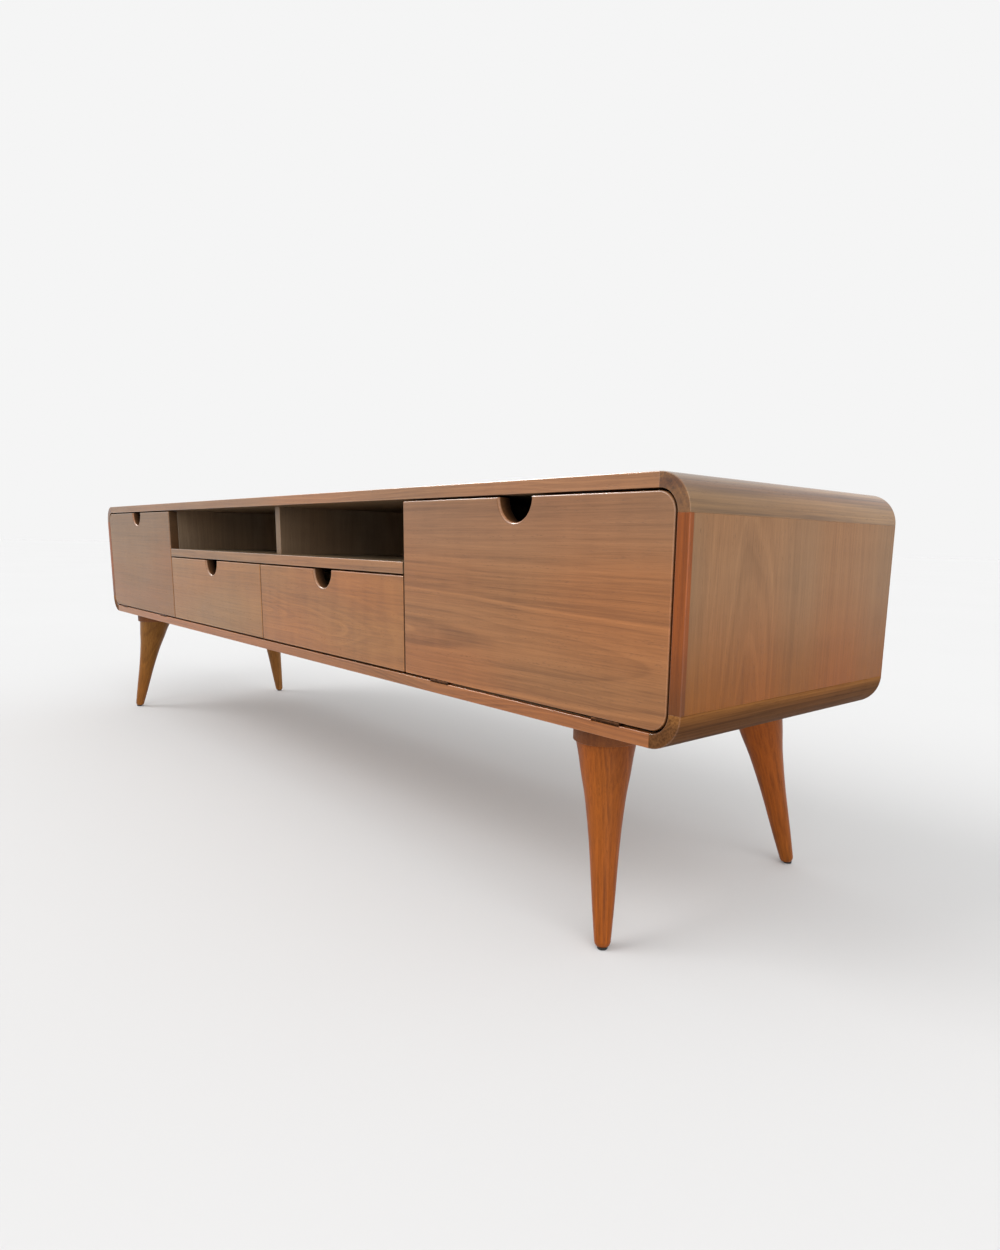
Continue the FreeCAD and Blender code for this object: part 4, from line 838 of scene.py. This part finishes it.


# painted light: the fronts are painted warmer towards the bottom and bluer towards the top
FRONT_LOW_PAINTED_LIGHT, FRONT_HIGH_PAINTED_LIGHT = (1.10, 1.04, 0.92), (0.97, 1.04, 1.22)
# painted shade: the left flap's gain is far darker and less blue than the other fronts', painted shade towards the left
# end
FRONTS = [
    # node, body, outer side, seed, pith (across, behind), tilt, period, gain, figure, curl, reach, wobble
    ("left_flap", "left_flap", -1, 20.0, (-0.16, -0.050), (0.02, 0.10), 0.0075, (0.71, 0.72, 0.53), 0.45, 1.0, 0.05, 0.6),
    ("right_flap", "right_flap", 1, 23.0, (-0.055, -0.018), (0.0, 0.065), 0.0105, (0.92, 0.92, 0.90), 0.90, 1.0, 0.075, 0.6),
    ("left_drawer_front", "left_drawer", 0, 26.0, (0.10, -0.030), (0.10, 0.12), 0.0075, (0.91, 0.99, 0.88), 0.45, 1.4, 0.05, 0.7),
    ("right_drawer_front", "right_drawer", 0, 29.0, (-0.018, -0.021), (0.04, 0.106), 0.0075, (0.95, 0.91, 0.72), 0.75, 2.2, 0.045, 1.1),
]
for node, body, outer, seed, pith, tilt, period, gain, figure, curl, reach, wobble in FRONTS:
    lo, hi = bx(node)
    small = 0.00215
    # corners counter-clockwise from low left, in (x, z)
    pts = [(lo.x, lo.z), (hi.x, lo.z), (hi.x, hi.z), (lo.x, hi.z)]
    rad = [small] * 4
    if outer > 0:
        rad[1] = rad[2] = CORNER
    if outer < 0:
        rad[0] = rad[3] = CORNER
    poly = []
    for i, p in enumerate(pts):
        trio = fillet_poly(pts, [rad[i] if k == i else 0 for k in range(4)], 16 if rad[i] > 0.01 else 5)
        count = len(trio) - 3
        poly += trio[i:i + count]
    ob = to_object("walnut_" + node, extruded(poly, "y", lo.y, hi.y, (F_EASE, 0.0006), (6, 2)))
    tools = [notch_cutter((lo.x + hi.x) / 2, hi.z, lo.y, hi.y)]
    if outer:
        leaves = nodes[node + "_hinge_leaves"].data
        zs = sorted(v.co.x for v in leaves.vertices)
        mid = (zs[0] + zs[-1]) / 2
        leaf_top = max(v.co.z for v in leaves.vertices)
        for part in ([x for x in zs if x < mid], [x for x in zs if x > mid]):
            tools.append(box_cutter((part[0] - 0.0002, lo.y - 0.01, lo.z - 0.01), (part[-1] + 0.0002, lo.y + 0.0042, lo.z + 0.0008)))
            tools.append(box_cutter((part[0], lo.y + 0.002, lo.z - 0.012), (part[-1], hi.y + 0.01, leaf_top)))
        tools.append(cutter(node + "_screws"))
    else:
        blo, bhi = bx(body + "_bottom")
        tools.append(box_cutter((blo.x, blo.y, blo.z), (bhi.x, hi.y + 0.05, bhi.z)))
    cut(ob, *tools)
    mat = walnut("walnut_" + node, (1, 0, 0), (0, -1, 0), middle(node, 0, -1, 0), "front", pith=pith, tilt=tilt, period=period, seed=seed,
                 gain=gain, figure=figure, curl=curl, reach=reach, wobble=wobble, streak=0.9, ends=(0.42, 0.42, 0.44), painted_light=[((0, 0, 1), 0.38, 0.48, FRONT_LOW_PAINTED_LIGHT, FRONT_HIGH_PAINTED_LIGHT)])
    cx, cz = (lo.x + hi.x) / 2, hi.z
    # painted shade: the notch walls are painted dark, and darker still towards the back of the notch
    notch_painted_shade = walnut("walnut_%s_notch" % node, (1, 0, 0), (0, -1, 0), middle(node, 0, -1, 0), "front", seed=seed + 0.5, gain=(0.46, 0.46, 0.48), figure=0.4, gloss=0.5, coat=0.0, spec=0.1, rim=0.2,
                  ends=(1, 1, 1), painted_light=[((0, 1, 0), lo.y + 0.002, hi.y - 0.001, (1.0, 1.0, 1.0), (0.16, 0.15, 0.15))])
    # painted highlight: the rounded front rim of each notch is painted paler and bluer
    rim = walnut("walnut_%s_rim" % node, (1, 0, 0), (0, -1, 0), middle(node, 0, -1, 0), "front", seed=seed + 0.7, gain=(1.0, 1.15, 1.5), figure=0.3, gloss=0.36, coat=0.0, spec=0.30, ends=(1, 1, 1), rim=0.25)

    def in_notch(c, n, grow):
        return math.hypot(c.x - cx, c.z - cz) < NOTCH + grow and abs(n.y) < 0.985

    dress(ob, body, mat, [node], test=front_edge,
          other=[(notch_painted_shade, lambda c, n: in_notch(c, n, N_EASE + 0.0004)),
                 (rim, lambda c, n: in_notch(c, n, N_EASE + 0.0004) and -0.95 < n.y < -0.25 and c.y < lo.y + N_EASE)])

# ------------------------------------------------------------------ drawer boxes
for side, word in ((-1, "left"), (1, "right")):
    body = word + "_drawer"
    blo, bhi = bx(body + "_bottom")
    klo, khi = bx(body + "_back")
    rlo = min(v.co.z for v in nodes["drawer_runners"].data.vertices) - 0.0005
    rhi = max(v.co.z for v in nodes["drawer_runners"].data.vertices) + 0.0005
    ry = min(v.co.y for v in nodes["drawer_runners"].data.vertices) - 0.0005
    for which in ("inner", "outer"):
        name = "%s_%s_side" % (body, which)
        lo, hi = bx(name)
        pts = [(lo.x, lo.z), (hi.x, lo.z), (hi.x, hi.z), (lo.x, hi.z)]
        ob = to_object("birch_" + name, extruded(fillet_poly(pts, [0.0004, 0.0004, 0.0012, 0.0012], 4), "y", lo.y, hi.y, (0.0, 0.0006), (1, 2)))
        outward = -side if which == "inner" else side
        groove = (hi.x - 0.006, hi.x + 0.01) if outward > 0 else (lo.x - 0.01, lo.x + 0.006)
        cut(ob, box_cutter((groove[0], ry, rlo), (groove[1], hi.y + 0.01, rhi)),
            box_cutter((klo.x, klo.y, klo.z), (khi.x, khi.y + 0.01, khi.z)),
            box_cutter((blo.x, blo.y - 0.01, blo.z), (bhi.x, bhi.y + 0.01, bhi.z)))
        mat = plywood("birch_" + name, (1, 0, 0), (0, 1, 0), "C9A676", "D2B48A", seed=30.0 + side)
        dress(ob, body, mat, [name])

# ------------------------------------------------------------------ legs
LEG = [(1.07, 0.012, 0.0), (1.0, 0.0, 0.0), (0.905, 0.0, -0.07), (0.81, 0.0, -0.16), (0.70, 0.0, -0.25), (0.60, 0.0, -0.36),
       (0.49, 0.0, -0.52), (0.395, 0.0, -0.72), (0.315, 0.0, -0.88)]
LEG_R, TIP_R = 0.035, 0.0094


def spline_through(points, per=10):
    """Natural cubic spline through 2-D points, sampled evenly between them."""
    n = len(points)
    s = [0.0]
    for a, b in zip(points, points[1:]):
        s.append(s[-1] + math.hypot(b[0] - a[0], b[1] - a[1]))
    out = [[], []]
    for k in (0, 1):
        y = [p[k] for p in points]
        h = [s[i + 1] - s[i] for i in range(n - 1)]
        al = [0.0] + [3 * ((y[i + 1] - y[i]) / h[i] - (y[i] - y[i - 1]) / h[i - 1]) for i in range(1, n - 1)] + [0.0]
        l, mu, z = [1.0], [0.0], [0.0]
        for i in range(1, n - 1):
            l.append(2 * (s[i + 1] - s[i - 1]) - h[i - 1] * mu[i - 1])
            mu.append(h[i] / l[i])
            z.append((al[i] - h[i - 1] * z[i - 1]) / l[i])
        l.append(1.0)
        z.append(0.0)
        c = [0.0] * n
        b, d = [0.0] * (n - 1), [0.0] * (n - 1)
        for j in range(n - 2, -1, -1):
            c[j] = z[j] - mu[j] * c[j + 1]
            b[j] = (y[j + 1] - y[j]) / h[j] - h[j] * (c[j + 1] + 2 * c[j]) / 3
            d[j] = (c[j + 1] - c[j]) / (3 * h[j])
        for j in range(n - 1):
            for q in range(per):
                x = h[j] * q / per
                out[k].append(y[j] + b[j] * x + c[j] * x * x + d[j] * x ** 3)
        out[k].append(y[-1])
    return list(zip(*out))


block_pts = [v.co.copy() for v in nodes["leg_blocks"].data.vertices]
glide_pts = [v.co.copy() for v in nodes["foot_glides"].data.vertices]
leg_top = min(p.z for p in block_pts)
glide_top = 0.003
for word, sx, sy in (("front_left", -1, -1), ("front_right", 1, -1), ("rear_left", -1, 1), ("rear_right", 1, 1)):
    mine = [p for p in block_pts if p.x * sx > 0 and p.y * sy > 0]
    foot = [p for p in glide_pts if p.x * sx > 0 and p.y * sy > 0]
    top = Vector(((min(p.x for p in mine) + max(p.x for p in mine)) / 2, (min(p.y for p in mine) + max(p.y for p in mine)) / 2, leg_top))
    tip = Vector(((min(p.x for p in foot) + max(p.x for p in foot)) / 2, (min(p.y for p in foot) + max(p.y for p in foot)) / 2, 0.0))
    axis = tip - top
    length = axis.length
    axis.normalize()
    key = [(LEG_R * k, dz + dl * length) for k, dz, dl in LEG] + [(TIP_R, -length + TIP_R * 0.95)]
    prof = spline_through(key, 9)
    # rounded tip through the same three points as the turned foot
    p0, p1, p2 = Vector((TIP_R, -length + TIP_R * 0.95)), Vector((TIP_R * 0.72, -length + TIP_R * 0.27)), Vector((0.0, -length))
    A = Matrix(((p1.x - p0.x, p1.y - p0.y), (p2.x - p1.x, p2.y - p1.y)))
    rhs = Vector(((p1.length_squared - p0.length_squared) / 2, (p2.length_squared - p1.length_squared) / 2))
    centre = A.inverted() @ rhs
    rad = (p0 - centre).length
    t0, t2 = math.atan2(p0.y - centre.y, p0.x - centre.x), math.atan2(p2.y - centre.y, p2.x - centre.x)
    while t2 > t0:
        t2 -= 2 * math.pi
    prof += [(centre.x + rad * math.cos(t0 + (t2 - t0) * j / 10), centre.y + rad * math.sin(t0 + (t2 - t0) * j / 10)) for j in range(1, 10)]
    seg = 96
    turn = Vector((0, 0, -1)).rotation_difference(axis).to_matrix().to_4x4()
    place = Matrix.Translation(top) @ turn
    bm = bmesh.new()
    rings = [[bm.verts.new(place @ Vector((r * math.cos(2 * math.pi * i / seg), r * math.sin(2 * math.pi * i / seg), z))) for i in range(seg)] for r, z in prof]
    for a, b in zip(rings, rings[1:]):
        for i in range(seg):
            bm.faces.new((a[i], b[i], b[(i + 1) % seg], a[(i + 1) % seg]))
    bm.faces.new(rings[0])
    end = bm.verts.new(place @ Vector((0, 0, -length)))
    for i in range(seg):
        bm.faces.new((rings[-1][i], end, rings[-1][(i + 1) % seg]))
    for height, normal in ((leg_top, (0, 0, 1)), (glide_top, (0, 0, -1))):
        geom = list(bm.verts) + list(bm.edges) + list(bm.faces)
        bmesh.ops.bisect_plane(bm, geom=geom, dist=1e-7, plane_co=(0, 0, height), plane_no=normal, clear_outer=True)
        rim = [e for e in bm.edges if e.is_boundary]
        bmesh.ops.contextual_create(bm, geom=rim)
    bmesh.ops.recalc_face_normals(bm, faces=bm.faces)
    ob = to_object("walnut_%s_leg" % word, bm)
    cut(ob, cutter("leg_hanger_bolts"), cutter("foot_glides"))
    side_on = axis.cross(Vector((0, 1, 0))).normalized()
    # painted light: the left legs are tinted greyer and bluer than the right ones, the rear left most of all, as
    # painted shade and painted haze, so the four legs differ in colour
    mat = walnut("walnut_%s_leg" % word, -axis, side_on, tuple((top + tip) / 2), "leg", pith=(0.05 * sx, -0.04), tilt=(0.03, 0.05), seed=40.0 + sx + 2 * sy,
                 period=0.0070, figure=0.7, wobble=0.6, streak=1.5, gloss=0.38, coat=0.04, spec=0.16, gain=(0.96, 0.93, 0.90) if sx > 0 else ((0.86, 1.2, 2.0) if sy < 0 else (1.06, 1.7, 4.2)))
    dress(ob, "carcass", mat, [word + "_leg"], smooth=40, mark=True, test=lambda p, n: False)

# ------------------------------------------------------------------ materials of the CAD nodes that stay
def paint(names, mat):
    for n in names:
        o = nodes[n]
        if not o.material_slots:
            o.data.materials.append(mat)
        for s in o.material_slots:
            s.material = mat


paint(["leg_blocks"], walnut("walnut_leg_blocks", (0, 1, 0), (0, 0, -1), middle("leg_blocks", 0, 0, -1), "collar", seed=50.0, gloss=0.4, spec=0.2, coat=0.05, figure=0.6))
# painted light: the back panel's face towards the bays is tinted four to five times paler and greyer, lifting the
# shaded bays
paint(["back_panel"], plywood("stained_back_panel_painted_lift", (0, 1, 0), (1, 0, 0), "6E5A42", "8A6848", seed=51.0, ply=0.0010, near=(4.0, 4.9, 5.4)))
for i, n in enumerate(("left_drawer_back", "right_drawer_back")):
    paint([n], plywood("birch_" + n, (0, 1, 0), (1, 0, 0), "C9A676", "D2B48A", seed=52.0 + i))
for i, n in enumerate(("left_drawer_bottom", "right_drawer_bottom")):
    paint([n], plywood("birch_" + n, (0, 0, 1), (1, 0, 0), "CDAD80", "D2B48A", seed=54.0 + i, ply=0.0009))
paint(["drawer_runners", "drawer_stop_strips"], beech("beech_runners", (0, 1, 0), 1.0))
paint(["corner_splines"], beech("beech_splines", (0, 1, 0), 2.0))
paint(["carcass_dowels"], beech("beech_dowels", (0, 0, 1), 3.0))
paint(["left_drawer_stop_button", "right_drawer_stop_button"], beech("beech_buttons", (0, 0, 1), 4.0))
paint(["back_panel_screws", "fitting_screws", "leg_block_screws", "left_drawer_screws", "right_drawer_screws",
       "left_flap_screws", "right_flap_screws", "leg_hanger_bolts"], metal("screw_steel", "B9B4A6", 0.28, tarnish="8C8470"))
paint(["left_flap_strike_plate", "right_flap_strike_plate"], metal("plate_steel", "A8A8A4", 0.25, brush=(60.0, 900.0, 900.0)))
paint(["hinge_carcass_leaves", "hinge_pins", "left_flap_hinge_leaves", "right_flap_hinge_leaves"],
      metal("dark_brass", "5A3A24", 0.50, tarnish="3A2416", tarnish_amount=0.9))
paint(["left_flap_stay", "right_flap_stay", "stay_guides"], metal("brass", "C79A4E", 0.26, brush=(900.0, 70.0, 70.0), tarnish="8A6230"))
paint(["flap_catches", "foot_glides"], plastic("black_plastic", "17140F"))

# ------------------------------------------------------------------ floor and light
bm = bmesh.new()
bmesh.ops.create_grid(bm, x_segments=8, y_segments=8, size=60.0)
floor = to_object("floor", bm)
floor.location.z = -0.0004
t = Tree("floor_paint")
cloud = t.noise(t.coords(), 0.7, 4.0)
floor.data.materials.append(t.surface(Base_Color=t.mix(t.remap(cloud, 0.3, 0.7), (0.664, 0.664, 0.664, 1.0), (0.672, 0.672, 0.672, 1.0)),
                                      Roughness=t.math("MULTIPLY_ADD", cloud, 0.1, 0.85), Specular_IOR_Level=0.0))

w = Tree("studio", world=True)
bg = w.node("ShaderNodeBackground")
bg.inputs["Color"].default_value = (1.0, 1.0, 1.0, 1.0)
bg.inputs["Strength"].default_value = 0.913
out = w.node("ShaderNodeOutputWorld")
w.t.links.new(bg.outputs[0], out.inputs[0])
scene.world = w.owner


def sun(name, towards, strength, angle, colour=(1, 1, 1)):
    data = bpy.data.lights.new(name, "SUN")
    data.energy, data.angle, data.color = strength, math.radians(angle), colour
    o = bpy.data.objects.new(name, data)
    o.rotation_mode = "QUATERNION"
    o.rotation_quaternion = Vector(towards).to_track_quat("Z", "Y")
    scene.collection.objects.link(o)
    return o


sun("key", (-0.50, -0.62, 0.60), 1.3, 40.0)
sun("fill", (0.80, -0.35, 0.50), 1.3, 60.0)
sheen = sun("sheen", (-0.74, -0.05, 0.66), 3.4, 14.0)
sheen.visible_diffuse = False

# ------------------------------------------------------------------ tidy up and finish
for o in list(_cutters.values()):
    bpy.data.objects.remove(o)
for o in [o for o in bpy.data.objects if o.name.startswith("cutter_")]:
    bpy.data.objects.remove(o)
